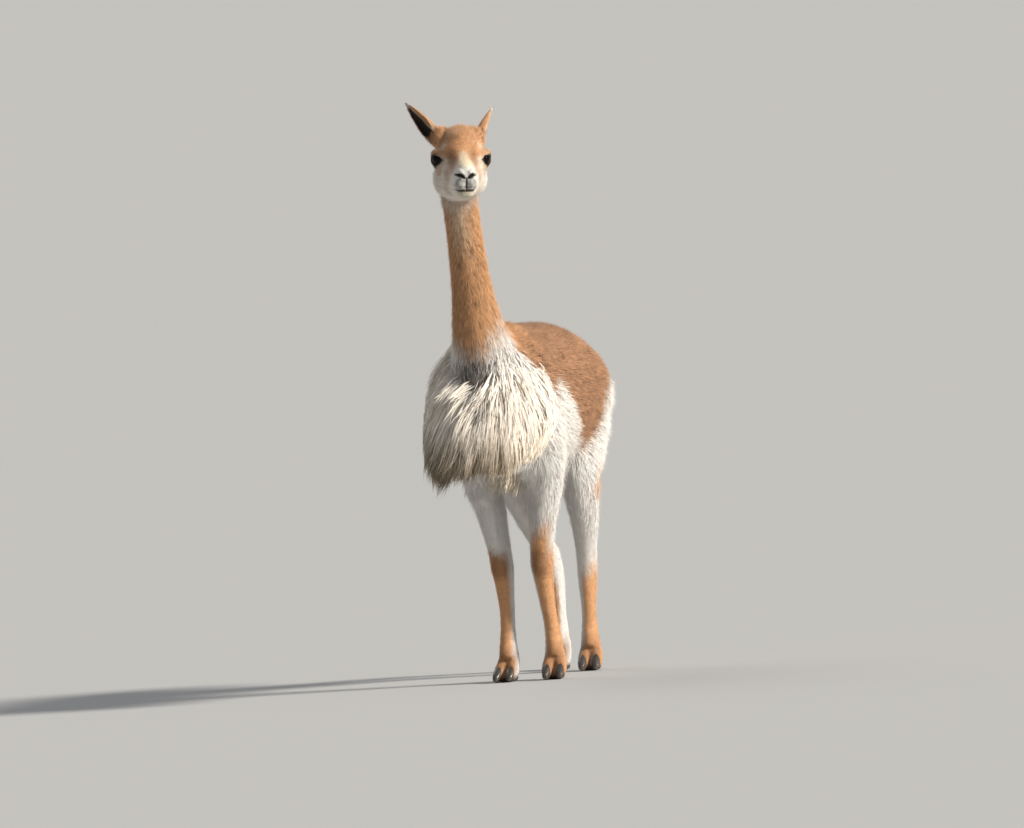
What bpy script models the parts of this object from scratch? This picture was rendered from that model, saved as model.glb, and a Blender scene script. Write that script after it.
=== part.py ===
"""A life-size vicuna standing alert, as a museum model, in metres.

The animal faces -Y with its left side towards +X, and Z is up. Its head is turned a little to its left.
The flesh is lofted and fused into one skin, then parted with thin cuts into head, neck, chest, torso and legs.
The long white hair of the chest is built as flat tapered locks that grow from the chest.
"""

import math
import random

import bmesh
import bpy
from mathutils import Matrix, Vector
from mathutils.bvhtree import BVHTree

UP = Vector((0, 0, 1))
AHEAD = Vector((0, -1, 0))
PARTING = 0.0003  # gap between neighbouring nodes

# The trunk, with its coat: distance behind the middle, back line, belly line, half width
TRUNK_FORM = (
    (-0.335, 0.700, 0.575, 0.050),
    (-0.300, 0.765, 0.515, 0.098),
    (-0.235, 0.815, 0.482, 0.128),
    (-0.140, 0.832, 0.470, 0.138),
    (-0.020, 0.820, 0.470, 0.143),
    (0.090, 0.816, 0.476, 0.148),
    (0.190, 0.815, 0.492, 0.150),
    (0.275, 0.797, 0.520, 0.147),
    (0.345, 0.768, 0.565, 0.130),
    (0.398, 0.728, 0.620, 0.092),
    (0.422, 0.700, 0.655, 0.045),
)
BODY_TRIANGLES = 4300
TRUNK_WIDEST = 0.46  # share of its height at which the trunk is widest
TRUNK_SQUARENESS = (2.0, 2.25)  # of the back, then of the belly

# The neck, from inside the trunk to inside the head: centre, half width, half depth ahead, half depth behind
NECK_FORM = (
    (0.000, -0.150, 0.640, 0.100, 0.130, 0.120),
    (0.000, -0.225, 0.735, 0.088, 0.112, 0.110),
    (0.002, -0.290, 0.825, 0.060, 0.072, 0.078),
    (0.005, -0.325, 0.930, 0.0475, 0.055, 0.058),
    (0.006, -0.350, 1.040, 0.0430, 0.048, 0.050),
    (0.008, -0.372, 1.120, 0.0425, 0.047, 0.049),
    (0.012, -0.392, 1.185, 0.0400, 0.042, 0.044),
)

# Each leg's girth by height above the floor: height, half width, half depth ahead, half depth behind
FORELEG_FORM = (
    (0.680, 0.050, 0.080, 0.080),
    (0.580, 0.054, 0.078, 0.080),
    (0.490, 0.045, 0.056, 0.066),
    (0.420, 0.0380, 0.0430, 0.0500),
    (0.350, 0.0315, 0.0350, 0.0370),
    (0.300, 0.0285, 0.0320, 0.0300),
    (0.265, 0.0285, 0.0320, 0.0290),
    (0.225, 0.0240, 0.0260, 0.0260),
    (0.160, 0.0190, 0.0215, 0.0225),
    (0.115, 0.0188, 0.0210, 0.0225),
    (0.082, 0.0212, 0.0240, 0.0265),
    (0.050, 0.0200, 0.0220, 0.0220),
)
HINDLEG_FORM = (
    (0.720, 0.062, 0.090, 0.095),
    (0.600, 0.064, 0.110, 0.115),
    (0.500, 0.053, 0.092, 0.092),
    (0.430, 0.0420, 0.0660, 0.0660),
    (0.360, 0.0330, 0.0440, 0.0480),
    (0.290, 0.0262, 0.0310, 0.0390),
    (0.245, 0.0248, 0.0300, 0.0400),
    (0.205, 0.0232, 0.0265, 0.0300),
    (0.150, 0.0190, 0.0215, 0.0235),
    (0.112, 0.0185, 0.0210, 0.0230),
    (0.082, 0.0208, 0.0240, 0.0265),
    (0.050, 0.0195, 0.0215, 0.0215),
)
# Where each leg's middle runs: height, distance to the animal's left, distance behind the middle
LEG_PATHS = {
    "foreleg_right": (
        (0.680, -0.078, -0.185), (0.580, -0.084, -0.120), (0.480, -0.076, -0.080),
        (0.350, -0.059, -0.062), (0.265, -0.0505, -0.056), (0.160, -0.0480, -0.052),
        (0.082, -0.0500, -0.060), (0.040, -0.0510, -0.074),
    ),
    "foreleg_left": (
        (0.680, 0.078, -0.185), (0.580, 0.084, -0.125), (0.480, 0.076, -0.093),
        (0.350, 0.060, -0.083), (0.265, 0.0520, -0.080), (0.160, 0.0560, -0.070),
        (0.082, 0.0620, -0.066), (0.040, 0.0640, -0.074),
    ),
    "hindleg_left": (
        (0.720, 0.072, 0.235), (0.600, 0.084, 0.210), (0.500, 0.088, 0.178),
        (0.430, 0.086, 0.180), (0.350, 0.078, 0.212), (0.250, 0.0650, 0.250),
        (0.150, 0.0615, 0.250), (0.082, 0.0600, 0.247), (0.040, 0.0600, 0.234),
    ),
    "hindleg_right": (
        (0.720, -0.072, 0.240), (0.600, -0.084, 0.240), (0.500, -0.088, 0.235),
        (0.430, -0.084, 0.254), (0.350, -0.072, 0.296), (0.245, -0.0540, 0.370),
        (0.150, -0.0495, 0.383), (0.082, -0.0490, 0.380), (0.040, -0.0500, 0.364),
    ),
}
HOCK_HEIGHT = 0.245
HEEL_ABOVE_HOCK = 0.022
HEEL_BEHIND_HOCK = 0.030
HEEL_RADII = (0.0125, 0.0150, 0.0300)
KNEE_HEIGHT = 0.268
KNEECAP_AHEAD = 0.0205
KNEECAP_RADII = (0.0220, 0.0140, 0.0300)

LEG_TOP = 0.456  # height at which a leg is parted from the trunk
FOOT_TOP = 0.090  # height at which a foot is parted from its leg

# The foot: two toes, each with a pad below and a nail in front
TOE_SPREAD = 0.0160
TOE_REACH = 0.050
FOOT_TURN = math.radians(6)  # feet point outwards
FOOT_TRIANGLES = 360
HEEL_PAD_PLACE = Vector((0, -0.014, 0.008))
HEEL_PAD_RADII = (0.0225, 0.0280, 0.0160)
NAIL_MIDDLE = Vector((0, -0.0625, 0.028))
NAIL_SLOPE = math.radians(-32)

# The head, measured from the middle of the line between the eyes
HEAD_PLACE = Vector((0.040, -0.447, 1.218))
HEAD_TURN = math.radians(21)
HEAD_LEAN = math.radians(4)  # the crown leans to the animal's left
EYE_OUT = 0.0470
EYE_RADIUS = 0.0195
EYE_LOOKS_OUT = math.radians(50)
EYE_OPENING = (0.0178, 0.0144)  # half width and half height
LID_THICKNESS = 0.0026
NOSTRIL = (0.0066, 0.0080, 0.0026)  # half length, half depth, half height
NOSTRIL_PLACE = Vector((0.0118, -0.1330, -0.0325))
NOSTRIL_SLANT = math.radians(30)
MOUTH_HEIGHT = -0.0695
MOUTH_CORNER = math.radians(118)  # how far round from the front the mouth reaches
MOUTH_PIVOT = 0.092  # how far ahead of the eyes the middle of the mouth's bend lies
MOUTH_DEPTH = 0.0034
MOUTH_GAPE = 0.0013
# The skull and jaws with their coat: distance behind the eyes, crown line, jaw line, half width
HEAD_FORM = (
    (0.098, 0.020, -0.030, 0.022),
    (0.082, 0.050, -0.056, 0.043),
    (0.055, 0.069, -0.080, 0.052),
    (0.025, 0.078, -0.096, 0.0575),
    (0.000, 0.071, -0.100, 0.0585),
    (-0.025, 0.046, -0.097, 0.0530),
    (-0.050, 0.022, -0.091, 0.0425),
    (-0.075, 0.007, -0.087, 0.0330),
    (-0.100, -0.005, -0.085, 0.0268),
    (-0.120, -0.014, -0.083, 0.0240),
    (-0.134, -0.024, -0.074, 0.0165),
)
HEAD_TRIANGLES = 3100
HEAD_WIDEST = 0.43
HEAD_SQUARENESS = (2.05, 2.5)
EAR_FORM = (  # share of the length, half width, half depth of the cup
    (0.00, 0.0150, 0.0140),
    (0.20, 0.0185, 0.0160),
    (0.42, 0.0200, 0.0150),
    (0.64, 0.0165, 0.0120),
    (0.82, 0.0110, 0.0080),
    (0.94, 0.0058, 0.0045),
    (1.00, 0.0022, 0.0020),
)
EAR_WALL = 0.0042
EAR_WRAP = math.radians(250)  # how much of a full turn the cup's wall goes round
EAR_ROOTS = {  # root, then tip, in the head's own frame, then where the cup opens to
    "ear_right": (Vector((-0.0400, 0.047, 0.030)), Vector((-0.120, 0.080, 0.129)), Vector((-0.75, -0.65, 0.0))),
    "ear_left": (Vector((0.0400, 0.040, 0.030)), Vector((0.086, 0.125, 0.115)), Vector((0.92, 0.10, 0.0))),
}

# The tail hangs close to the rump: centre, half width, half depth ahead, half depth behind
TAIL_FORM = (
    (0.0, 0.375, 0.700, 0.026, 0.024, 0.024),
    (0.0, 0.412, 0.696, 0.031, 0.026, 0.028),
    (0.0, 0.434, 0.662, 0.034, 0.024, 0.028),
    (0.0, 0.440, 0.610, 0.033, 0.021, 0.026),
    (0.0, 0.440, 0.560, 0.026, 0.018, 0.021),
    (0.0, 0.439, 0.522, 0.014, 0.010, 0.012),
    (0.0, 0.438, 0.508, 0.004, 0.004, 0.004),
)

TAIL_TRIANGLES = 320

# The planes that part the flesh: a point, and the way towards the first of the two nodes
HEAD_CUT = (Vector((0.004, -0.375, 1.128)), Vector((0, -0.45, 0.893)))
NECK_CUT = (Vector((0.0, -0.275, 0.806)), Vector((0, -0.50, 0.866)))
CHEST_CUT = (Vector((0.0, -0.165, 0.650)), Vector((0, -1, 0)))

# The long hair of the chest
BIB_ROWS = 7
BIB_TOP = 0.742
BIB_BOTTOM = 0.560
BIB_SIDE_RISE = 0.050  # how much higher the rows start at the sides than in front
BIB_REACH = math.radians(80)  # how far round the chest the rows go
BIB_LOCKS = 11  # in one row
BIB_LENGTH = 0.145
BIB_LOWEST_TIP = 0.466
BIB_CORNER_DROP = 0.060  # how much lower the hair hangs at the animal's right shoulder
BIB_SWEEP = 0.26  # how much the front locks lean towards the animal's right
BIB_STANDS_OFF = 0.012
BIB_SWELL = 0.014  # how much further off the skin it stands in front
BIB_HALF_WIDTH = 0.0135
BIB_FLATNESS = 0.30
LOCK_STEPS = 5
ROOT_DEPTH = 0.012

COLOURS = {
    "fawn": (0.46, 0.21, 0.085),
    "cream": (0.72, 0.64, 0.54),
    "white": (0.80, 0.75, 0.67),
    "eye": (0.012, 0.008, 0.006),
    "nail": (0.060, 0.050, 0.045),
}


def clear_scene():
    """Empties the scene of what Blender starts with."""
    for found in list(bpy.data.objects):
        bpy.data.objects.remove(found)


def link(name, bm):
    """A new object in the scene that holds this bmesh."""
    mesh = bpy.data.meshes.new(name)
    bm.to_mesh(mesh)
    bm.free()
    made = bpy.data.objects.new(name, mesh)
    bpy.context.scene.collection.objects.link(made)
    return made


def remove(*objects):
    for unwanted in objects:
        bpy.data.objects.remove(unwanted)


def applied(made):
    """The object with its modifiers applied to its mesh."""
    graph = bpy.context.evaluated_depsgraph_get()
    mesh = bpy.data.meshes.new_from_object(made.evaluated_get(graph))
    made.modifiers.clear()
    made.data = mesh
    return made


def copied(made, name):
    twin = bpy.data.objects.new(name, made.data.copy())
    bpy.context.scene.collection.objects.link(twin)
    return twin


def between(rows, place):
    """A row of numbers read from a smooth curve through the rows, at a place counted in rows."""
    last = len(rows) - 1
    first = min(int(place), last - 1)
    t = place - first
    a, b, c, d = (rows[min(max(first + k, 0), last)] for k in (-1, 0, 1, 2))
    return [
        q + 0.5 * t * (r - p + t * (2 * p - 5 * q + 4 * r - s + t * (3 * (q - r) + s - p)))
        for p, q, r, s in zip(a, b, c, d)
    ]


def read_at(rows, key):
    """The rest of a row at a value of the first column, which rises or falls from row to row."""
    falls = rows[0][0] > rows[-1][0]
    for number in range(len(rows) - 1):
        low, high = rows[number][0], rows[number + 1][0]
        if (key >= high) if falls else (key <= high):
            break
    share = min(max((key - low) / (high - low), 0.0), 1.0)
    return between(rows, number + share)[1:]


def power_wave(value, squareness):
    return math.copysign(abs(value) ** (2 / squareness), value)


def loft(name, form, rings, sides=28, first_axis=AHEAD, squareness=(2.0, 2.0)):
    """A closed tube through rows of centre, half width and the half depths towards and away from an axis."""
    rows = [between(form, k * (len(form) - 1) / (rings - 1)) for k in range(rings)]
    centres = [Vector(row[:3]) for row in rows]
    bm = bmesh.new()
    hoops = []
    for number, row in enumerate(rows):
        tangent = (centres[min(number + 1, rings - 1)] - centres[max(number - 1, 0)]).normalized()
        depthwise = (first_axis - tangent * first_axis.dot(tangent)).normalized()
        widthwise = depthwise.cross(tangent)
        hoop = []
        for side in range(sides):
            turn = 2 * math.pi * side / sides
            power = squareness[0] if math.sin(turn) > 0 else squareness[1]
            out = power_wave(math.cos(turn), power) * row[3]
            rise = power_wave(math.sin(turn), power)
            rise *= row[4] if rise > 0 else row[5]
            hoop.append(bm.verts.new(centres[number] + widthwise * out + depthwise * rise))
        hoops.append(hoop)
    skin_hoops(bm, hoops)
    return link(name, bm)


def skin_hoops(bm, hoops):
    """Faces between the hoops and over both ends, all facing out."""
    count = len(hoops[0])
    for one, other in zip(hoops, hoops[1:]):
        for side in range(count):
            after = (side + 1) % count
            bm.faces.new((one[side], one[after], other[after], other[side]))
    bm.faces.new(hoops[0][::-1])
    bm.faces.new(hoops[-1])
    bmesh.ops.recalc_face_normals(bm, faces=bm.faces)


def ball(name, centre, radii, detail=3):
    """A ball stretched to three radii."""
    bm = bmesh.new()
    bmesh.ops.create_icosphere(bm, subdivisions=detail, radius=1.0)
    bmesh.ops.transform(bm, matrix=Matrix.Translation(centre) @ Matrix.Diagonal((*radii, 1)), verts=bm.verts)
    return link(name, bm)


def placed(made, matrix):
    made.data.transform(matrix)
    return made


def fused_skin(name, pieces, grain, smoothing, triangles=None):
    """One closed skin over pieces that overlap, with its creases eased, then thinned to a count of triangles."""
    bm = bmesh.new()
    for piece in pieces:
        bm.from_mesh(piece.data)
    remove(*pieces)
    skin = link(name, bm)
    remesh = skin.modifiers.new("remesh", "REMESH")
    remesh.mode = "VOXEL"
    remesh.voxel_size = grain
    ease = skin.modifiers.new("ease", "SMOOTH")
    ease.factor = 0.5
    ease.iterations = smoothing
    applied(skin)
    return thinned(skin, triangles) if triangles else skin


def thinned(made, triangles):
    """The object with about this many triangles."""
    now = sum(len(face.vertices) - 2 for face in made.data.polygons)
    thin = made.modifiers.new("thin", "DECIMATE")
    thin.ratio = min(1.0, triangles / now)
    return applied(made)


def boolean(made, other, operation, solver="EXACT"):
    """Cuts or joins with another object, which is then removed."""
    work = made.modifiers.new("work", "BOOLEAN")
    work.operation = operation
    work.object = other
    work.solver = solver
    applied(made)
    remove(other)
    return made


def boolean_all(made, others, operation, solver="EXACT"):
    """The same with several objects at once."""
    group = bpy.data.collections.new("work")
    bpy.context.scene.collection.children.link(group)
    for other in others:
        group.objects.link(other)
    work = made.modifiers.new("work", "BOOLEAN")
    work.operation = operation
    work.operand_type = "COLLECTION"
    work.collection = group
    work.solver = solver
    applied(made)
    remove(*others)
    bpy.data.collections.remove(group)
    return made


def largest_only(made):
    """Keeps the largest closed surface of an object."""
    bm = bmesh.new()
    bm.from_mesh(made.data)
    islands = []
    unseen = set(bm.verts)
    while unseen:
        island, edge_of_search = set(), [unseen.pop()]
        while edge_of_search:
            vert = edge_of_search.pop()
            island.add(vert)
            for edge in vert.link_edges:
                other = edge.other_vert(vert)
                if other in unseen:
                    unseen.remove(other)
                    edge_of_search.append(other)
        islands.append(island)
    islands.sort(key=lambda island: -box_volume(island))
    spare = [vert for island in islands[1:] for vert in island]
    bmesh.ops.delete(bm, geom=spare, context="VERTS")
    bm.to_mesh(made.data)
    bm.free()
    return made


def box_volume(verts):
    sides = [max(v.co[k] for v in verts) - min(v.co[k] for v in verts) for k in range(3)]
    return sides[0] * sides[1] * sides[2]


def one_side(made, name, point, normal):
    """A copy of what lies on the side of a plane that its normal points to, closed over the cut."""
    kept = copied(made, name)
    bm = bmesh.new()
    bm.from_mesh(kept.data)
    edge = point + normal.normalized() * PARTING / 2
    geometry = bm.verts[:] + bm.edges[:] + bm.faces[:]
    bmesh.ops.bisect_plane(bm, geom=geometry, plane_co=edge, plane_no=normal, clear_inner=True)
    rim = [e for e in bm.edges if e.is_boundary]
    bmesh.ops.holes_fill(bm, edges=rim)
    bmesh.ops.triangulate(bm, faces=bm.faces)
    bm.to_mesh(kept.data)
    bm.free()
    return kept


def parted(made, ahead_name, behind_name, plane):
    """Parts an object with a thin cut and returns what lies ahead of the plane and what lies behind it."""
    point, normal = plane
    ahead = one_side(made, ahead_name, point, normal)
    behind = one_side(made, behind_name, point, -normal)
    remove(made)
    return ahead, behind


def loose_parts(made):
    """Each closed surface of an object as its own object."""
    bm = bmesh.new()
    bm.from_mesh(made.data)
    found = []
    while bm.verts:
        bm.verts.ensure_lookup_table()
        island, search = set(), [bm.verts[0]]
        while search:
            vert = search.pop()
            if vert in island:
                continue
            island.add(vert)
            search.extend(edge.other_vert(vert) for edge in vert.link_edges)
        keep = bmesh.new()
        twin = {vert: keep.verts.new(vert.co) for vert in island}
        faces = {face for vert in island for face in vert.link_faces}
        for face in faces:
            keep.faces.new([twin[v] for v in face.verts])
        bmesh.ops.recalc_face_normals(keep, faces=keep.faces)
        found.append(link("loose", keep))
        bmesh.ops.delete(bm, geom=list(island), context="VERTS")
    bm.free()
    remove(made)
    return found


def swollen(made, gap):
    """A copy whose surface stands out by a gap."""
    twin = copied(made, made.name + "_swollen")
    normals = [vert.normal.copy() for vert in twin.data.vertices]
    for vert, normal in zip(twin.data.vertices, normals):
        vert.co += normal * gap
    return twin


def clear_of(made, *neighbours):
    """Cuts an object back so that it meets its neighbours face to face."""
    for neighbour in neighbours:
        boolean(made, swollen(neighbour, PARTING), "DIFFERENCE")
    return largest_only(made)


def barrel(name, form, widest, squareness, rings, sides):
    """A closed form along Y from rows of place, upper line, lower line and half width."""
    rows = []
    for behind, top, bottom, half_width in form:
        middle = bottom + (top - bottom) * widest
        rows.append((0.0, behind, middle, half_width, top - middle, middle - bottom))
    return loft(name, rows, rings=rings, sides=sides, first_axis=UP, squareness=squareness)


def leg_rows(name):
    """The leg's rows of centre and girth, from inside the trunk down to the pastern."""
    form = FORELEG_FORM if name.startswith("fore") else HINDLEG_FORM
    rows = []
    for height, half_width, ahead, behind in form:
        left, back = read_at(LEG_PATHS[name], height)
        rows.append((left, back, height, half_width, ahead, behind))
    return rows


def leg(name):
    """One leg with its knee or its heel."""
    pieces = [loft(name, leg_rows(name), rings=44, sides=24)]
    if name.startswith("hind"):
        left, back = read_at(LEG_PATHS[name], HOCK_HEIGHT)
        heel = Vector((left, back + HEEL_BEHIND_HOCK, HOCK_HEIGHT + HEEL_ABOVE_HOCK))
        pieces.append(ball(name + "_heel", heel, HEEL_RADII))
    else:
        left, back = read_at(LEG_PATHS[name], KNEE_HEIGHT)
        knee = Vector((left, back - KNEECAP_AHEAD, KNEE_HEIGHT))
        pieces.append(ball(name + "_knee", knee, KNEECAP_RADII))
    return pieces


def toe(name, side):
    """One toe in the foot's own frame: it runs forward and down from the pastern to the floor."""
    out = side * TOE_SPREAD
    rows = (
        (0.3 * out, 0.006, 0.070, 0.0165, 0.0170, 0.0170),
        (0.6 * out, -0.004, 0.046, 0.0165, 0.0165, 0.0185),
        (0.95 * out, -0.022, 0.026, 0.0145, 0.0165, 0.0180),
        (1.00 * out, -0.040, 0.016, 0.0122, 0.0135, 0.0160),
        (1.04 * out, -TOE_REACH, 0.0105, 0.0095, 0.0100, 0.0125),
        (1.05 * out, -TOE_REACH - 0.010, 0.0070, 0.0055, 0.0058, 0.0070),
    )
    return loft(name, rows, rings=16, sides=18, first_axis=Vector((0, -0.5, 1)))


def foot(leg_name):
    """The foot with its two nails, fused to the foot's share of the leg and cut flat on the floor."""
    name = leg_name.replace("leg", "foot")
    left, back = read_at(LEG_PATHS[leg_name], FOOT_TOP)
    turn = Matrix.Rotation(math.copysign(FOOT_TURN, left), 4, "Z")
    place = Matrix.Translation((left, back, 0)) @ turn
    pieces = [loft(name + "_shank", leg_rows(leg_name), rings=44, sides=24)]
    pieces += [placed(toe(name + "_toe", side), place) for side in (-1, 1)]
    pieces.append(placed(ball(name + "_pad", HEEL_PAD_PLACE, HEEL_PAD_RADII), place))
    whole = fused_skin(name, pieces, grain=0.0026, smoothing=3)
    lower = one_side(whole, name, Vector((0, 0, FOOT_TOP)), -UP)
    remove(whole)
    flat = one_side(lower, name, Vector((0, 0, -PARTING / 2)), UP)
    remove(lower)
    thinned(flat, FOOT_TRIANGLES)
    return nails_off(flat, name, place)


def nails_off(whole, name, place):
    """Parts the two nails from the toes with slanted thin cuts."""
    fronts = copied(whole, "fronts")
    boolean(fronts, placed(nail_cell(0.0), place), "INTERSECT")
    boolean(whole, placed(nail_cell(PARTING), place), "DIFFERENCE")
    found = []
    for piece in loose_parts(fronts):
        outward = (place.inverted() @ middle_of(piece)).x * math.copysign(1, place.translation.x)
        piece.name = name.replace("foot", "nail") + ("_outer" if outward > 0 else "_inner")
        found.append(piece)
    whole.name = name
    return whole, found


def nail_cell(gap):
    """A low slanted block round the ends of both toes, in the foot's own frame."""
    bm = bmesh.new()
    bmesh.ops.create_cube(bm, size=1.0)
    block = Matrix.Diagonal((0.12, 0.040 + 2 * gap, 0.060 + 2 * gap, 1))
    lean = Matrix.Rotation(NAIL_SLOPE, 4, "X")
    bmesh.ops.transform(bm, matrix=Matrix.Translation(NAIL_MIDDLE) @ lean @ block, verts=bm.verts)
    return link("nail_cell", bm)


def middle_of(made):
    return sum((vert.co for vert in made.data.vertices), Vector()) / len(made.data.vertices)


def eye_matrix(side):
    """The eye's own frame in the head: its X runs across the opening, and its Z looks out."""
    outward = Vector((side * math.sin(EYE_LOOKS_OUT), -math.cos(EYE_LOOKS_OUT), 0.06)).normalized()
    across = UP.cross(outward).normalized()
    rise = outward.cross(across)
    frame = Matrix((across, rise, outward)).transposed().to_4x4()
    return Matrix.Translation((side * EYE_OUT, 0, 0)) @ frame


def head_base():
    """The skull, cheeks and jaws, in the head's own frame, eased into one soft form."""
    pieces = [
        barrel("skull", HEAD_FORM, HEAD_WIDEST, HEAD_SQUARENESS, rings=36, sides=36),
        ball("forelock", Vector((0.001, 0.030, 0.044)), (0.046, 0.040, 0.043)),
        loft("stub", NECK_FORM, rings=48, sides=32),
    ]
    placed(pieces[-1], head_matrix().inverted())
    for side in (-1, 1):
        cheek = Vector((side * 0.0345 - 0.0015, 0.014, -0.044))
        pieces.append(ball("cheek", cheek, (0.0295, 0.044, 0.042)))
    return fused_skin("head_base", pieces, grain=0.0032, smoothing=16)


def head_features():
    """The rims of the eyes, the brows, the nose and the lips, in the head's own frame."""
    pieces = [
        ball("nose", Vector((0, -0.1160, -0.0260)), (0.0150, 0.0190, 0.0130)),
        ball("lower_lip", Vector((0, -0.1150, -0.0785)), (0.0150, 0.0145, 0.0080)),
        ball("chin", Vector((0, -0.0980, -0.0800)), (0.0150, 0.0180, 0.0090)),
    ]
    for side in (-1, 1):
        pieces += [
            ball("orbit", Vector((side * EYE_OUT, 0, 0)), (EYE_RADIUS + LID_THICKNESS,) * 3),
            ball("brow", Vector((side * 0.0465, 0.006, 0.0135)), (0.0218, 0.0300, 0.0150)),
            ball("cheekbone", Vector((side * 0.0440, 0.004, -0.0160)), (0.0190, 0.0300, 0.0130)),
            ball("lip", Vector((side * 0.0118, -0.1215, -0.0570)), (0.0134, 0.0150, 0.0132)),
            ball("nose_wing", Vector((side * 0.0112, -0.1215, -0.0320)), (0.0115, 0.0145, 0.0118)),
        ]
    return pieces


def head_matrix():
    """Places the head's own frame, in which it looks along -Y, on the neck."""
    turn = Matrix.Rotation(HEAD_TURN, 4, "Z") @ Matrix.Rotation(HEAD_LEAN, 4, "Y")
    return Matrix.Translation(HEAD_PLACE) @ turn


def carve_eye(head, side):
    """Opens the lids and hollows the socket, and returns the eyeball."""
    place = eye_matrix(side)
    socket = placed(ball("socket", Vector(), (EYE_RADIUS + PARTING,) * 3), place)
    boolean(head, socket, "DIFFERENCE")
    opening = ball("opening", Vector((0, 0, EYE_RADIUS)), (*EYE_OPENING, 0.012))
    boolean(head, placed(opening, place), "DIFFERENCE")
    return placed(ball("eye_left" if side > 0 else "eye_right", Vector(), (EYE_RADIUS,) * 3), place)


def carve_muzzle(head):
    """Cuts the nostrils, the cleft of the upper lip and the line of the mouth."""
    for side in (-1, 1):
        slant = Matrix.Rotation(side * NOSTRIL_SLANT, 4, "Y").inverted()
        centre = Matrix.Translation((side * NOSTRIL_PLACE.x, NOSTRIL_PLACE.y, NOSTRIL_PLACE.z))
        nostril = placed(ball("nostril", Vector(), NOSTRIL, detail=2), centre @ slant)
        boolean(head, nostril, "DIFFERENCE")
    cleft = ball("cleft", Vector((0, -0.1375, -0.0550)), (0.0014, 0.0080, 0.0165), detail=2)
    boolean(head, cleft, "DIFFERENCE")
    boolean(head, mouth_cutter(head), "DIFFERENCE")
    return largest_only(head)


def mouth_cutter(head):
    """A thin wedge that opens the lips, laid along the surface from one corner round to the other."""
    surface = surface_of(head)
    bm = bmesh.new()
    hoops = []
    steps = 18
    for step in range(steps + 1):
        share = 2 * step / steps - 1
        swing = share * MOUTH_CORNER
        outward = Vector((math.sin(swing), -math.cos(swing), 0))
        height = MOUTH_HEIGHT + 0.0045 * share * share - 0.0012 * math.cos(share * math.pi * 1.5)
        start = Vector((0, -MOUTH_PIVOT, height)) + outward * 0.08
        hit, _, _, _ = surface.ray_cast(start, -outward)
        outside = hit + outward * 0.003
        inside = hit - outward * MOUTH_DEPTH * (1 - share ** 6)
        hoops.append([
            bm.verts.new(outside + UP * MOUTH_GAPE), bm.verts.new(outside - UP * MOUTH_GAPE),
            bm.verts.new(inside - UP * MOUTH_GAPE * 0.3), bm.verts.new(inside + UP * MOUTH_GAPE * 0.3),
        ])
    skin_hoops(bm, hoops)
    return link("mouth", bm)


def build_head():
    """The head with its open lids, nostrils and mouth, and its two eyes, set in place on the neck."""
    flesh = [head_base(), *head_features()]
    head = fused_skin("head_whole", flesh, grain=0.0026, smoothing=3, triangles=HEAD_TRIANGLES)
    eyes = [carve_eye(head, side) for side in (-1, 1)]
    carve_muzzle(head)
    for made in [head, *eyes]:
        placed(made, head_matrix())
    node = one_side(head, "head", *HEAD_CUT)
    remove(head)
    return largest_only(node), eyes


def ear(name, head):
    """A cupped leaf of an ear, cut clear of the head at its root."""
    root, tip, opens = EAR_ROOTS[name]
    along = (tip - root).normalized()
    open_way = (opens - along * opens.dot(along)).normalized()
    across = along.cross(open_way)
    length = (tip - root).length
    bm = bmesh.new()
    hoops = []
    arc_points, rings = 8, 9
    for ring in range(rings):
        share = ring / (rings - 1)
        half_width, depth = read_at(EAR_FORM, share)
        wrap = EAR_WRAP * (1 - 0.28 * share)
        wall = min(EAR_WALL, 0.55 * half_width)
        centre = root + along * length * share
        hoop = []
        for layer, direction in ((0.0, 1), (wall, -1)):
            for k in range(arc_points):
                swing = direction * (k / (arc_points - 1) - 0.5) * wrap
                out = across * math.sin(swing) * (half_width - layer)
                back = -open_way * math.cos(swing) * (depth - layer)
                hoop.append(bm.verts.new(centre + out + back))
        hoops.append(hoop)
    skin_hoops(bm, hoops)
    made = link(name, bm)
    placed(made, head_matrix())
    return clear_of(made, head)


def surface_of(*objects):
    """A search tree over the triangles of some objects."""
    points, faces = [], []
    for made in objects:
        start = len(points)
        points += [vert.co.copy() for vert in made.data.vertices]
        faces += [[start + index for index in face.vertices] for face in made.data.polygons]
    return BVHTree.FromPolygons(points, faces)


def lock_path(surface, root, outward, length, clearance, drift):
    """The middle line of a lock: it leaves the skin, lies along the coat below it and hangs free past its end."""
    step = length / LOCK_STEPS
    points = [root - outward * ROOT_DEPTH]
    heading = (outward * 0.8 - UP + drift).normalized()
    for number in range(1, LOCK_STEPS + 1):
        share = number / LOCK_STEPS
        point = points[-1] + heading * step
        near, normal, _, _ = surface.find_nearest(point)
        height = (point - near).dot(normal)
        wanted = clearance * (0.35 + share)
        if height < wanted:
            point += normal * (wanted - height)
        points.append(point)
        heading = (heading * 0.45 + (-UP + drift * (1 - 0.5 * share)) * 0.55).normalized()
    return points


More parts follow.
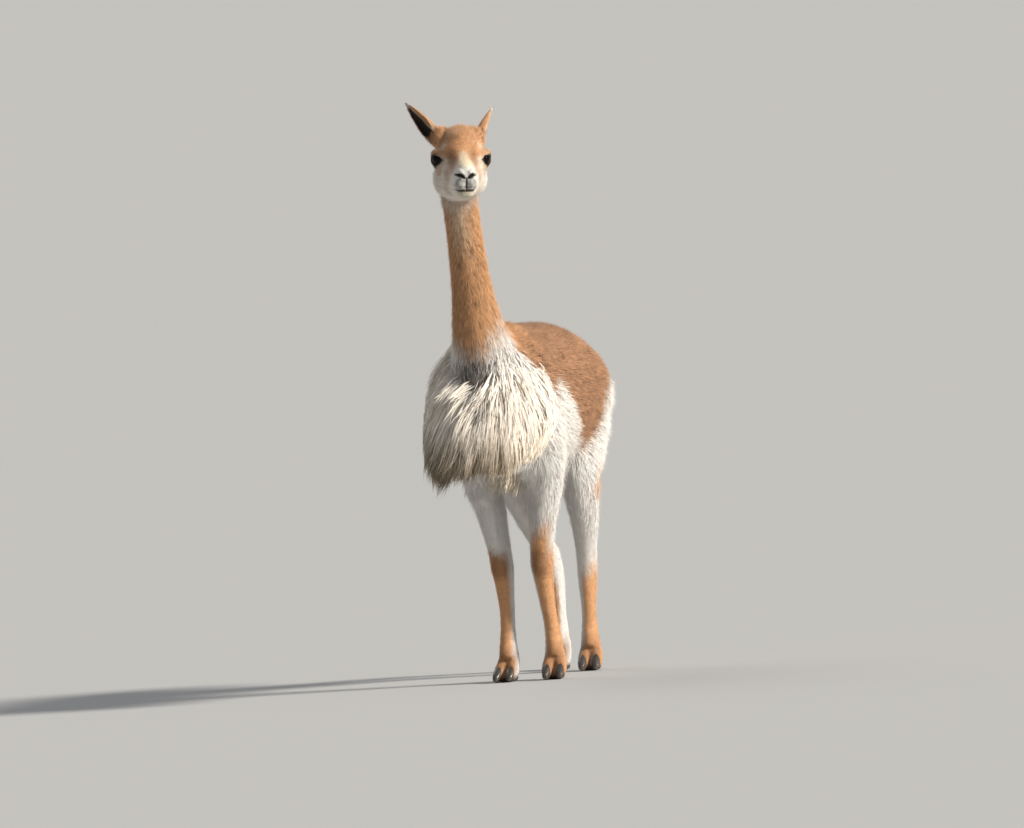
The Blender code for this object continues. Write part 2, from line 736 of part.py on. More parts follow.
def lock(name, path, outward, half_width, flatness):
    """A flat tapered lock of hair along a path, with a ridge down its face."""
    bm = bmesh.new()
    hoops = []
    last = len(path) - 1
    for number, point in enumerate(path[:-1]):
        share = number / last
        tangent = (path[number + 1] - path[max(number - 1, 0)]).normalized()
        across = tangent.cross(outward).normalized()
        facing = across.cross(tangent)
        wide = half_width * (0.62 + 1.5 * share - 1.9 * share * share)
        thick = max(wide * flatness, 0.0014)
        hoops.append([
            bm.verts.new(point + across * wide), bm.verts.new(point + facing * thick),
            bm.verts.new(point - across * wide), bm.verts.new(point - facing * thick),
        ])
    for one, other in zip(hoops, hoops[1:]):
        for side in range(4):
            after = (side + 1) % 4
            bm.faces.new((one[side], one[after], other[after], other[side]))
    tip = bm.verts.new(path[-1])
    for side in range(4):
        bm.faces.new((hoops[-1][side], hoops[-1][(side + 1) % 4], tip))
    bm.faces.new(hoops[0][::-1])
    bmesh.ops.recalc_face_normals(bm, faces=bm.faces)
    return link(name, bm)


def bib_locks(chest, lying_on):
    """Rows of locks round the front of the chest, each row falling over the one below."""
    draw = random.Random(7)
    roots = surface_of(chest)
    coat = surface_of(*lying_on)
    made = []
    for row in range(BIB_ROWS):
        down = row / (BIB_ROWS - 1)
        for place in range(BIB_LOCKS):
            share = (place + 0.5 * (row % 2) + draw.uniform(-0.2, 0.2)) / BIB_LOCKS * 2 - 1
            swing = share * BIB_REACH
            height = BIB_TOP + (BIB_BOTTOM - BIB_TOP) * down + BIB_SIDE_RISE * abs(share) * (1 - down)
            height += draw.uniform(-0.008, 0.008)
            outward = Vector((math.sin(swing), -math.cos(swing), 0))
            start = Vector((0, -0.205, height))
            hit, _, _, _ = roots.ray_cast(start, outward)
            if hit is None:
                continue
            lowest = BIB_LOWEST_TIP - BIB_CORNER_DROP * max(0.0, -math.sin(swing)) ** 6
            length = min(BIB_LENGTH * draw.uniform(0.85, 1.12), height - lowest)
            lean = 0.05 * math.sin(swing) - BIB_SWEEP * math.cos(swing) ** 2
            drift = Vector((lean + draw.uniform(-0.08, 0.08), draw.uniform(-0.05, 0.03), 0))
            clearance = (BIB_STANDS_OFF + BIB_SWELL * math.cos(swing) ** 2) * (1.1 - 0.55 * down)
            path = lock_path(coat, hit, outward, length, clearance, drift)
            half_width = BIB_HALF_WIDTH * draw.uniform(0.85, 1.2)
            made.append(lock(f"lock_{row}_{place}", path, outward, half_width, BIB_FLATNESS))
    return made


def finish(made, colour, roughness):
    """Gives an object its own material and smooth shading."""
    material = bpy.data.materials.new(made.name)
    material.use_nodes = True
    shader = material.node_tree.nodes["Principled BSDF"]
    shader.inputs["Base Color"].default_value = (*COLOURS[colour], 1)
    shader.inputs["Roughness"].default_value = roughness
    shader.inputs["Metallic"].default_value = 0.0
    made.data.materials.clear()
    made.data.materials.append(material)
    made.data.shade_smooth()
    made.data.set_sharp_from_angle(angle=math.radians(50))


def centre_on_floor(objects):
    """Moves the whole animal so that the middle of its box stands over the origin."""
    corners = [vert.co for made in objects for vert in made.data.vertices]
    low = [min(point[k] for point in corners) for k in range(3)]
    high = [max(point[k] for point in corners) for k in range(3)]
    shift = Matrix.Translation((-(low[0] + high[0]) / 2, -(low[1] + high[1]) / 2, -low[2]))
    for made in objects:
        placed(made, shift)


def main():
    clear_scene()
    flesh = [
        barrel("trunk", TRUNK_FORM, TRUNK_WIDEST, TRUNK_SQUARENESS, rings=40, sides=40),
        loft("neck_form", NECK_FORM, rings=48, sides=32),
    ]
    for name in LEG_PATHS:
        flesh += leg(name)
    body = fused_skin("body", flesh, grain=0.0055, smoothing=6, triangles=BODY_TRIANGLES)

    upper, lower = parted(body, "upper", "lower", (Vector((0, 0, LEG_TOP)), UP))
    legs, feet, nails = [], [], []
    for limb in loose_parts(lower):
        centre = middle_of(limb)
        end = "fore" if centre.y < 0.06 else "hind"
        name = f"{end}leg_{'left' if centre.x > 0 else 'right'}"
        legs.append(one_side(limb, name, Vector((0, 0, FOOT_TOP)), UP))
        remove(limb)
        foot_node, foot_nails = foot(name)
        feet.append(foot_node)
        nails += foot_nails

    above, trunk_node = parted(upper, "above", "trunk", NECK_CUT)
    neck = one_side(above, "neck", HEAD_CUT[0], -HEAD_CUT[1])
    remove(above)
    largest_only(neck)
    chest, torso = parted(trunk_node, "chest", "torso", CHEST_CUT)
    head, eyes = build_head()
    ears = [ear(name, head) for name in EAR_ROOTS]
    tail = fused_skin("tail", [loft("tail_form", TAIL_FORM, rings=16, sides=16)], 0.004, 4, TAIL_TRIANGLES)
    clear_of(tail, torso)

    locks = bib_locks(chest, [chest, torso, neck])
    boolean_all(chest, locks, "UNION", solver="MANIFOLD")
    largest_only(chest)
    clear_of(chest, neck, torso)

    for made in [head, neck, tail, torso, *ears]:
        finish(made, "fawn", 0.9)
    for made in [*legs, *feet]:
        finish(made, "cream", 0.9)
    finish(chest, "white", 0.9)
    for made in eyes:
        finish(made, "eye", 0.08)
    for made in nails:
        finish(made, "nail", 0.5)
    centre_on_floor([head, neck, tail, torso, chest, *ears, *legs, *feet, *eyes, *nails])


if __name__ == "__main__":
    main()
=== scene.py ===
"""The looks of a life-size vicuna that stands alert, as a museum model.

The animal faces -Y with its left side towards +X, and every size is in metres.
One skin stands for all the nodes of flesh. The coat is solid tufts and locks rooted in that skin,
and skin and coat take their colours from the same markings.
"""

import logging
import math
from collections.abc import Callable, Iterable
from dataclasses import dataclass, replace
from enum import Enum

import bmesh
import bpy
import numpy as np
from bmesh.types import BMEdge, BMesh, BMVert
from bpy.types import Material, Mesh, Node, NodeTree, Object
from mathutils import Matrix, Vector
from mathutils.bvhtree import BVHTree
from mathutils.kdtree import KDTree


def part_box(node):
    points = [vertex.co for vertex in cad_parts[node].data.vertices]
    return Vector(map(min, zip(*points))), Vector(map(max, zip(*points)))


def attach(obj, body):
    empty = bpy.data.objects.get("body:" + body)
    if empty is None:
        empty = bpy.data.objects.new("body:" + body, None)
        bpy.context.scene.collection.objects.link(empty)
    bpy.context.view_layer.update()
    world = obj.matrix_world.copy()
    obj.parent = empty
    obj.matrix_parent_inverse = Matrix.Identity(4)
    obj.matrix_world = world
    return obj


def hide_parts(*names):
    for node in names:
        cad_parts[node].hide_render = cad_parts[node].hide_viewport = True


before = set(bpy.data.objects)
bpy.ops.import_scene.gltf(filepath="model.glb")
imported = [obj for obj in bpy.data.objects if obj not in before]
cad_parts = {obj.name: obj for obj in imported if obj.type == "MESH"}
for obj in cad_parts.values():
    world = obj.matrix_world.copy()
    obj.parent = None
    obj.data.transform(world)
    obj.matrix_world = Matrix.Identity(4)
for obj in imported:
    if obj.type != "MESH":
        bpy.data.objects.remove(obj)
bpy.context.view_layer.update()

Array = np.ndarray
Draw = np.random.Generator
Place = tuple[float, float, float]
Values = dict[str, float | tuple[float, ...]]
log = logging.getLogger("vicuna")

BODY = "root"
UP = Vector((0, 0, 1))
AHEAD = Vector((0, -1, 0))


class Region(Enum):
    """The parts of the skin that carry coats of their own kind."""

    FACE = 0
    HEAD = 1
    EARS = 2
    NECK = 3
    CHEST = 4
    TORSO = 5
    TAIL = 6
    FORELEGS = 7
    HINDLEGS = 8
    FEET = 9


# Colours of the coat and the bare parts, and the painted shade in the mouth's gap, as linear red, green and
# blue
class Tint(Enum):
    """The named colours of the animal."""

    CINNAMON = (0.70, 0.365, 0.175)
    SADDLE = (0.405, 0.212, 0.112)
    UMBER = (0.17, 0.078, 0.036)
    SEPIA = (0.055, 0.034, 0.025)
    WHITE = (0.90, 0.86, 0.81)
    CREAM = (0.84, 0.70, 0.53)
    STRAW = (0.66, 0.53, 0.33)
    DUN = (0.38, 0.29, 0.19)
    ASH = (0.56, 0.55, 0.53)
    LIP = (0.33, 0.32, 0.305)
    # The painted shade in the gap of the mouth
    MOUTH_SHADE = (0.060, 0.045, 0.025)
    BLACK = (0.008, 0.006, 0.005)


def tint(name: Tint) -> Array:
    """A named colour as an array."""
    return np.array(name.value)


def ease(low: float, high: float, value: Array) -> Array:
    """A smooth step.

    Args:
        low: Where the step starts.
        high: Where it ends, which may lie below low.
        value: What is measured.

    Returns:
        0 before the step, 1 after it.
    """
    share = np.clip((value - low) / (high - low), 0, 1)
    return share * share * (3 - 2 * share)


def ease_degrees(low: float, high: float, angle: float) -> float:
    """The smooth step of an angle between two others, which are in degrees."""
    return float(ease(math.radians(low), math.radians(high), angle))


def unit(vectors: Array) -> Array:
    """The same directions at length one."""
    return vectors / np.maximum(np.linalg.norm(vectors, axis=-1, keepdims=True), 1e-9)


def mixed(one: Array, other: Array, share: Array) -> Array:
    """Two colours mixed.

    Args:
        one: The first colour, or a colour for each point.
        other: The second.
        share: How much of the second each point takes.

    Returns:
        A colour for each point.
    """
    return one + (other - one) * np.asarray(share)[:, None]


def layered(colours: Array, *layers: tuple[Tint, float | Place | Array, Array]) -> Array:
    """Colours with others laid over them.

    Args:
        colours: One colour, or a colour for each point.
        layers: A named colour, its lightness and how much of each point it covers, from the lowest up.

    Returns:
        A colour for each point.
    """
    for name, light, share in layers:
        colours = mixed(colours, tint(name) * light, share)
    return colours


def waves(points: Array, size: float, seed: int) -> Array:
    """Soft irregular waves through space.

    Args:
        points: Where they are read.
        size: About the length of one wave.
        seed: Picks one pattern.

    Returns:
        A number near -1 to 1 for each point.
    """
    draw = np.random.default_rng(seed)
    total = np.zeros(len(points))
    for _ in range(7):
        way = unit(draw.normal(size=3))
        total += np.sin(points @ way * (2 * math.pi / size * draw.uniform(0.6, 1.6)) + draw.uniform(0, 6.3))
    return total / 3.0


def carried(points: Array, matrix: Matrix) -> Array:
    """Points carried from one frame to another by a matrix."""
    full = np.array(matrix)
    return points @ full[:3, :3].T + full[:3, 3]


def among(regions: Array, *wanted: Region) -> Array:
    """Which numbers of regions are those of some regions."""
    return np.isin(regions, [region.value for region in wanted])


def round_share(x: Array, y: Array) -> Array:
    """Where points lie round a middle, from 0 to 1."""
    return np.arctan2(x, y) / (2 * math.pi) + 0.5


def near(points: Array, place: Place, reach: float) -> Array:
    """How near each point is to a place: 1 there, 0 from a distance on."""
    return 1 - ease(0.25 * reach, reach, np.linalg.norm(points - np.array(place), axis=1))


def to_line(points: Array, line: Array) -> tuple[Array, Array]:
    """How far points are from a line of straight lengths.

    Args:
        points: The points.
        line: The corners of the line.

    Returns:
        The distance of each point, and how far along the line its nearest place is, from 0 to 1.
    """
    best = np.full(len(points), 1e9)
    along = np.zeros(len(points))
    lengths = np.linalg.norm(np.diff(line, axis=0), axis=1)
    before = np.concatenate(([0], np.cumsum(lengths)))
    for number, (start, end) in enumerate(zip(line[:-1], line[1:])):
        way = end - start
        share = np.clip((points - start) @ way / (way @ way), 0, 1)
        far = np.linalg.norm(points - start - share[:, None] * way, axis=1)
        nearer = far < best
        best[nearer] = far[nearer]
        along[nearer] = (before[number] + share[nearer] * lengths[number]) / before[-1]
    return best, along


@dataclass(frozen=True)
class Anatomy:
    """Where the head, eyes and ears are, in the animal's own frame and in its head's own frame.

    The animal's own frame is the model's, moved so that the numbers are those the flesh was shaped with.
    """

    head_place: Place = (0.040, -0.447, 1.218)
    head_turn: float = math.radians(21)
    head_lean: float = math.radians(4)
    eye_out: float = 0.0470
    eye_radius: float = 0.0195
    eye_looks_out: float = math.radians(50)
    eye_outer: float = math.radians(45)  # how far the opening reaches from the eye's axis, as angles
    eye_inner: float = math.radians(94)
    eye_above: float = math.radians(23)
    eye_below: float = math.radians(52)
    head_cut: Place = (0.004, -0.375, 1.128)
    head_cut_way: Place = (0.0, -0.45, 0.893)
    neck_cut: Place = (0.0, -0.275, 0.806)
    neck_cut_way: Place = (0.0, -0.50, 0.866)
    chest_back: float = -0.165
    leg_top: float = 0.456
    foot_top: float = 0.090
    between_legs: float = 0.06
    ear_reach: float = 0.031
    face_back: float = -0.065
    nostril: tuple[tuple[float, float], ...] = (
        (0.0042, -0.0405), (0.0090, -0.0372), (0.0150, -0.0345), (0.0220, -0.0330),
    )
    lobe: tuple[float, float] = (0.0116, -0.0555)
    mouth_height: float = -0.0700
    mouth_rise: float = 0.0045  # how far the line of the mouth rises to its corners
    mouth_corner: float = math.radians(118)  # where the corners are, as an angle round the jaw's middle
    jaw_middle: float = -0.092  # the place between the jaws that the mouth curves round

    def ears(self) -> tuple[tuple[Vector, Vector, Vector], ...]:
        """Root, tip and the way that the cup opens to, of the right ear and then the left."""
        right = (Vector((-0.040, 0.047, 0.030)), Vector((-0.120, 0.080, 0.129)), Vector((-0.75, -0.65, 0.0)))
        left = (Vector((0.040, 0.040, 0.030)), Vector((0.086, 0.125, 0.115)), Vector((0.92, 0.10, 0.0)))
        return right, left

    def tail_line(self) -> Array:
        """The middle of the hanging tail."""
        return np.array(((0, 0.412, 0.696), (0, 0.434, 0.662), (0, 0.440, 0.610), (0, 0.439, 0.512)))

    def shift(self) -> Vector:
        """From the animal's own frame to the model's frame, read from where the eyes are."""
        corners = [*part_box("eye_left"), *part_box("eye_right")]
        return sum(corners, Vector()) / 4 - Vector(self.head_place)

    def head_matrix(self) -> Matrix:
        """From the head's own frame to the model's frame."""
        turn = Matrix.Rotation(self.head_turn, 4, "Z") @ Matrix.Rotation(self.head_lean, 4, "Y")
        return Matrix.Translation(Vector(self.head_place) + self.shift()) @ turn

    def eye_matrix(self, side: int) -> Matrix:
        """From an eye's own frame, whose Z looks out, to the model's frame."""
        swing = self.eye_looks_out
        outward = Vector((side * math.sin(swing), -math.cos(swing), 0.06)).normalized()
        across = UP.cross(outward).normalized()
        frame_of_eye = Matrix((across, outward.cross(across), outward)).transposed().to_4x4()
        return self.head_matrix() @ Matrix.Translation((side * self.eye_out, 0, 0)) @ frame_of_eye

    def opening(self, turn: Array, side: int) -> Array:
        """How far the eye's opening reaches from the eye's axis.

        Args:
            turn: The way round the axis, from the eye's own X.
            side: 1 for the left eye and -1 for the right.

        Returns:
            An angle for each turn: a low straight lid above, a deep one below and a long inner corner.
        """
        inner = np.cos(turn) * side < 0
        reach = np.where(inner, self.eye_inner, self.eye_outer)
        above = np.sin(turn) > 0
        height = np.where(above, self.eye_above, self.eye_below)
        power = np.where(above, np.where(inner, 1.35, 1.9), np.where(inner, 1.06, 1.25))
        ends = (np.abs(np.cos(turn)) / reach) ** power + (np.abs(np.sin(turn)) / height) ** power
        return ends ** (-1 / power)

    def opening_share(self, points: Array) -> Array:
        """Where points lie beside the eyes' openings: below 1 inside the nearer one, above 1 outside."""
        best = np.full(len(points), 9.0)
        for side in (-1, 1):
            local = carried(points, self.eye_matrix(side).inverted())
            angle = np.arctan2(np.hypot(local[:, 0], local[:, 1]), local[:, 2])
            share = angle / self.opening(np.arctan2(local[:, 1], local[:, 0]), side)
            near_eye = np.linalg.norm(local, axis=1) < 0.042
            best = np.where(near_eye & (share < best), share, best)
        own = self.in_head(points)
        ahead = -own[:, 1]
        half = np.interp(ahead, (0.013, 0.022, 0.037, 0.041), (0.0115, 0.0080, 0.0018, 0.00001))
        taper = np.abs(own[:, 2] + 0.0035 - 0.04 * (ahead - 0.014)) / half
        return np.where(ahead > 0.013, np.maximum(best, taper), best)

    def own(self, points: Array) -> Array:
        """Points of the model in the animal's own frame."""
        return points - np.array(self.shift())

    def in_head(self, points: Array) -> Array:
        """Points of the model in the head's own frame, in which it looks along -Y."""
        return carried(points, self.head_matrix().inverted())

    def above_head_cut(self, points: Array) -> Array:
        """How far points of the model lie above the plane that parts head and neck."""
        return (self.own(points) - np.array(self.head_cut)) @ np.array(self.head_cut_way)

    def above_neck_cut(self, points: Array) -> Array:
        """How far points of the model lie above the plane that parts neck and chest."""
        return (self.own(points) - np.array(self.neck_cut)) @ np.array(self.neck_cut_way)

    def eye_distance(self, points: Array) -> Array:
        """How far points are from the middle of the nearer eye."""
        off = self.in_head(points)
        off[:, 0] = np.abs(off[:, 0]) - self.eye_out
        return np.linalg.norm(off, axis=1)

    def jaw_turn(self, width: Array, y: Array) -> Array:
        """Where points lie round the jaw's middle, as an angle from straight ahead."""
        return np.arctan2(width, self.jaw_middle - y)

    def mouth_line(self, turn: Array, above: float = 0.0) -> Array:
        """The height of the line of the mouth, or of a line above it, at an angle round the jaw's middle."""
        return self.mouth_height + above + self.mouth_rise * (turn / self.mouth_corner) ** 2

    def beside_ear(self, own: Array, root: Vector, tip: Vector) -> tuple[Array, Array]:
        """How far along an ear points of the head's own frame lie, from 0 to 1, and how far off its axis."""
        axis = np.array(tip - root)
        share = (own - np.array(root)) @ axis / np.linalg.norm(axis) ** 2
        return share, np.linalg.norm(own - np.array(root) - share[:, None] * axis, axis=1)

    def on_ear(self, points: Array) -> tuple[Array, Array]:
        """How much points belong to an ear, and how far along it they lie, from 0 at the root to 1."""
        own = self.in_head(points)
        most = np.zeros(len(points))
        along = np.zeros(len(points))
        for root, tip, _ in self.ears():
            share, off = self.beside_ear(own, root, tip)
            here = ease(0.10, 0.26, share) * (off < self.ear_reach)
            along = np.where(here > most, share, along)
            most = np.maximum(most, here)
        return most, along

    def near_ear(self, points: Array) -> Array:
        """How much points belong to an ear or the ground round its foot."""
        own = self.in_head(points)
        most = np.zeros(len(points))
        for root, tip, _ in self.ears():
            share, off = self.beside_ear(own, root, tip)
            most = np.maximum(most, ease(0.044, 0.030, off) * ease(-0.30, -0.08, share))
        return most

    def regions(self, points: Array) -> Array:
        """The number of the region that each point of the skin belongs to."""
        own = self.own(points)
        found = np.full(len(points), Region.TORSO.value)
        found[own[:, 1] < self.chest_back] = Region.CHEST.value
        found[self.above_neck_cut(points) > 0] = Region.NECK.value
        on_head = self.above_head_cut(points) > 0
        found[on_head] = Region.HEAD.value
        found[on_head & (self.in_head(points)[:, 1] < self.face_back)] = Region.FACE.value
        found[self.on_ear(points)[0] > 0.5] = Region.EARS.value
        low = own[:, 2] < self.leg_top
        found[low & (own[:, 1] < self.between_legs)] = Region.FORELEGS.value
        found[low & (own[:, 1] >= self.between_legs)] = Region.HINDLEGS.value
        found[own[:, 2] < self.foot_top] = Region.FEET.value
        off, _ = to_line(own, self.tail_line())
        found[(off < 0.034) & (own[:, 1] > 0.404) & ~low] = Region.TAIL.value
        return found

    def coat_depth(self, points: Array) -> Array:
        """How deep the coat lies over the skin.

        Args:
            points: Points of the model.

        Returns:
            The depth at each point.
        """
        own = self.own(points)
        head = self.in_head(points)
        heights = (0.0, 0.05, 0.09, 0.25, 0.33, 0.40, 0.456, 0.52, 0.66, 0.74, 0.80, 0.95, 1.10)
        depths = (
            0.0006, 0.0010, 0.0016, 0.0024, 0.0028, 0.0038, 0.0060,
            0.0105, 0.0115, 0.0090, 0.0085, 0.0085, 0.0075,
        )
        body = np.interp(own[:, 2], heights, depths)
        tail, _ = to_line(own, self.tail_line())
        body = np.where((tail < 0.045) & (own[:, 1] > 0.40), 0.010, body)
        face_places = (-0.125, -0.095, -0.06, -0.02, 0.03, 0.09)
        face = np.interp(head[:, 1], face_places, (0.0002, 0.0012, 0.0026, 0.0036, 0.0052, 0.0078))
        face = face + 0.0070 * ease(0.018, 0.055, head[:, 2])
        face = face * ease(0.0222, 0.034, self.eye_distance(points))
        ear, _ = self.on_ear(points)
        face = np.minimum(face, 0.0130 - 0.0112 * self.near_ear(points))
        face = face * (1 - ear) + 0.0008 * ear
        share = ease(-0.012, 0.035, self.above_head_cut(points))
        return body * (1 - share) + face * share


@dataclass(frozen=True)
class Spot:
    """A soft round mark on each side of the head."""

    place: Place  # on the left side, after the stretch
    reach: float
    share: float
    stretch: Place = (1.0, 1.0, 1.0)
    tint: Tint = Tint.UMBER
    light: float = 1.0
    uneven: float = 0.0

    def on(self, own: Array, side: int) -> Array:
        """How much points of the head's own frame lie in the spot of one side."""
        x, y, z = self.place
        return near(own * self.stretch, (side * x, y, z), self.reach)


@dataclass(frozen=True)
class Markings:
    """The colours of the coat as one function of where and how the skin lies."""

    anatomy: Anatomy
    saddle_places: tuple[float, ...] = (
        -0.262, -0.258, -0.235, -0.218, -0.206, -0.188, -0.176, -0.152, -0.138, -0.112, -0.05,
        0.007, 0.03, 0.075, 0.118, 0.144, 0.184, 0.206, 0.25, 0.33, 0.45,
    )
    saddle_edges: tuple[float, ...] = (
        0.99, 0.86, 0.785, 0.744, 0.716, 0.690, 0.662, 0.650, 0.672, 0.695, 0.650,
        0.600, 0.550, 0.536, 0.530, 0.550, 0.582, 0.610, 0.655, 0.685, 0.690,
    )
    # The flank of the nose, brown and partly painted shade; the slope beside it, painted shade on the sides
    # of the bridge; the brow; and the eye's socket, brown and partly painted shade
    head_spots: tuple[Spot, ...] = (
        Spot((0.031, -0.024, 0.000), 0.022, 0.72, (1.3, 0.40, 0.45), light=1.8),
        Spot((0.0234, -0.032, -0.002), 0.017, 0.42, (1.3, 0.5, 0.7), light=1.9),
        Spot((0.0360, -0.022, 0.0375), 0.021, 0.72, (0.8, 1, 1.35), Tint.CREAM, 0.92, uneven=0.18),
        Spot((0.048, -0.013, -0.003), 0.036, 0.45, (1, 0.8, 1), light=1.5),
    )
    # The tan of the cheek, from the eye to the jaw
    tan_spots: tuple[Spot, ...] = (
        Spot((0.050, -0.024, -0.027), 0.017, 0.55),
        Spot((0.034, -0.060, -0.036), 0.024, 0.62),
        Spot((0.026, -0.082, -0.020), 0.020, 0.50),
        Spot((0.040, -0.045, -0.072), 0.024, 0.42),
    )
    ear_base: Spot = Spot((0.058, 0.020, 0.034), 0.016, 0.30)

    def fawn_of_trunk(self, own: Array) -> Array:
        """How fawn the trunk is: a saddle over the back that reaches down the flanks in two lobes."""
        edge = np.interp(own[:, 1], self.saddle_places, self.saddle_edges)
        saddle = ease(-0.010, 0.010, own[:, 2] - edge)
        withers = (1 - ease(0.030, 0.060, np.abs(own[:, 0]))) * ease(0.770, 0.800, own[:, 2])
        return np.maximum(saddle, withers * ease(-0.30, -0.26, own[:, 1]))

    def neck_middle(self, z: Array) -> Array:
        """Where the middle of the neck is, from front to back, at each height."""
        return np.interp(z, (0.735, 0.825, 0.93, 1.12), (-0.225, -0.29, -0.325, -0.372))

    def fawn_of_neck(self, own: Array) -> Array:
        """How fawn the neck is, above an edge that is lower in front than at the sides."""
        middle = self.neck_middle(own[:, 2])
        sideways = np.clip(np.abs(own[:, 0]) / 0.05, 0, 1.4)
        back = ease(0.0, 0.05, own[:, 1] - middle)
        edge = 0.774 + 0.056 * sideways**2 - 0.026 * back + 0.026 * waves(own, 0.010, 51) * (1 - 0.6 * back)
        return ease(-0.026, 0.026, own[:, 2] - edge)

    def fawn_of_legs(self, own: Array, normals: Array) -> Array:
        """How fawn the legs are: in front and outside, from above the knees and the hocks down."""
        fore = own[:, 1] < self.anatomy.between_legs
        outside = normals[:, 0] * np.sign(own[:, 0])
        front = -normals[:, 1]
        turned = ease(-0.35, 0.25, front * 0.65 + outside * 0.65)
        rough = own[:, 2] + 0.012 * waves(own, 0.022, 53) - 0.020 * outside
        left = own[:, 0] > 0
        top_of_front = np.where(left, 0.395, 0.318)
        full = np.where(left, 0.290, 0.286)
        reach = ease(1.05, 0.45, (rough + 0.010 - full) / (top_of_front - full))
        stripe = ease(0.25, 0.95, front) * reach
        low = ease(0.312, 0.268, rough)
        forelegs = np.maximum(turned * low, stripe)
        hind = ease(-0.25, 0.40, front * 0.45 + outside * 0.75) * ease(0.262, 0.190, rough)
        thigh = near(own, (0.130, 0.195, 0.452), 0.058) * 0.85
        thigh = np.maximum(thigh, near(own, (-0.125, 0.300, 0.475), 0.045) * 0.7)
        return np.where(fore, forelegs, np.maximum(hind, thigh))

    def head_colours(self, points: Array) -> Array:
        """The colours of the head, read in the head's own frame."""
        anatomy = self.anatomy
        own = anatomy.in_head(points)
        x, y, z = own.T
        width = np.abs(x)
        edge_places = (-0.104, -0.092, -0.078, -0.060, -0.03, -0.01, 0.01, 0.030, 0.070, 0.10)
        edge_heights = (0.020, -0.002, 0.000, 0.004, 0.008, 0.012, 0.006, -0.010, -0.045, -0.080)
        edge = np.interp(y, edge_places, edge_heights)
        fawn = ease(-0.007, 0.007, z - edge + 0.003 * waves(points, 0.02, 31))
        crown = ease(0.018, 0.045, z) * (0.75 + 0.25 * waves(points, 0.012, 43))
        snout = ease(-0.058, -0.080, y) * fawn
        ridge = (1 - ease(0.004, 0.011 + 0.011 * ease(-0.06, -0.10, y), width)) * ease(-0.056, -0.074, y)
        colours = layered(
            tint(Tint.CREAM),
            (Tint.WHITE, (0.97, 0.95, 0.92), ease(0.000, -0.045, z) * 0.80),
            (Tint.CINNAMON, 1.0, fawn),
            (Tint.SADDLE, 0.92, crown * 0.46),
            (Tint.CREAM, (0.86, 0.78, 0.72), snout * 0.55),
            (Tint.CREAM, (1.02, 1.0, 0.92), ridge * ease(-0.030, -0.015, z) * 0.9),
        )
        flecks = waves(points, 0.008, 39)
        blotches = 1 + 0.25 * waves(points, 0.012, 41)
        for side in (-1, 1):
            for spot in self.head_spots:
                share = spot.on(own, side) * (spot.share + spot.uneven * flecks)
                colours = layered(colours, (spot.tint, spot.light, share))
            tan = np.max([spot.on(own, side) * spot.share for spot in self.tan_spots], axis=0)
            colours = layered(
                colours,
                (Tint.CINNAMON, (0.80, 0.88, 0.95), np.clip(tan * blotches, 0, 1)),
                (Tint.UMBER, 1.0, self.ear_base.on(own, side) * self.ear_base.share),
            )
        throat = ease(0.000, 0.050, y) * ease(-0.050, -0.085, z)
        front = ease(-0.092, -0.106, y)
        nose = front * (1 - ease(0.010, 0.020, np.abs(z + 0.030)))
        mottle = 1 + 0.25 * waves(points, 0.009, 33)
        lobe_off = np.hypot((width - anatomy.lobe[0]) / 0.0134, (z - anatomy.lobe[1]) / 0.0150)
        lips = front * ease(1.12, 0.90, lobe_off)
        chin = ease(-0.086, -0.102, y) * ease(-0.0705, -0.0745, z) * ease(-0.100, -0.086, z)
        height = anatomy.mouth_line(anatomy.jaw_turn(width, y))
        thick = 0.0012 + 0.0020 * ease(0.026, 0.008, width)
        slit = (1 - ease(0.6, 1.5, np.abs(z - height) / thick)) * ease(-0.070, -0.088, y)
        off, along = to_line(np.column_stack((width, z)), np.array(anatomy.nostril))
        half_open = 0.0020 + 0.0034 * np.sin(math.pi * np.clip(along, 0.05, 0.95))
        hole = (1 - ease(0.75, 1.35, off / half_open)) * front
        cleft = (1 - ease(0.0008, 0.0028, width)) * front * ease(-0.037, -0.042, z) * ease(-0.074, -0.070, z)
        share = anatomy.opening_share(points)
        return layered(
            colours,
            (Tint.SADDLE, 1.0, throat * 0.6),
            (Tint.ASH, 1.25, nose * 0.8),
            (Tint.LIP, mottle[:, None], lips * 0.92),
            (Tint.CREAM, (0.68, 0.76, 0.66), chin * 0.60),
            # The gap of the mouth is painted dark, most in its middle: painted shade
            (Tint.MOUTH_SHADE, 1.0, slit * (0.22 + 0.73 * ease(0.028, 0.016, width))),
            # The nostrils' holes are painted black: painted shade in the hollows
            (Tint.BLACK, 1.0, hole),
            # The cleft between the lobes of the lip is painted dark: painted shade in the crease
            (Tint.SEPIA, 1.0, cleft * 0.9),
            # A brown ring round each eye's opening: the skin's own dark brown, partly painted shade in the
            # socket
            (Tint.SEPIA, 1.5, (1 - ease(1.10, 1.55, share)) * 0.70),
            (Tint.BLACK, 1.2, 1 - ease(1.00, 1.12, share)),
        )

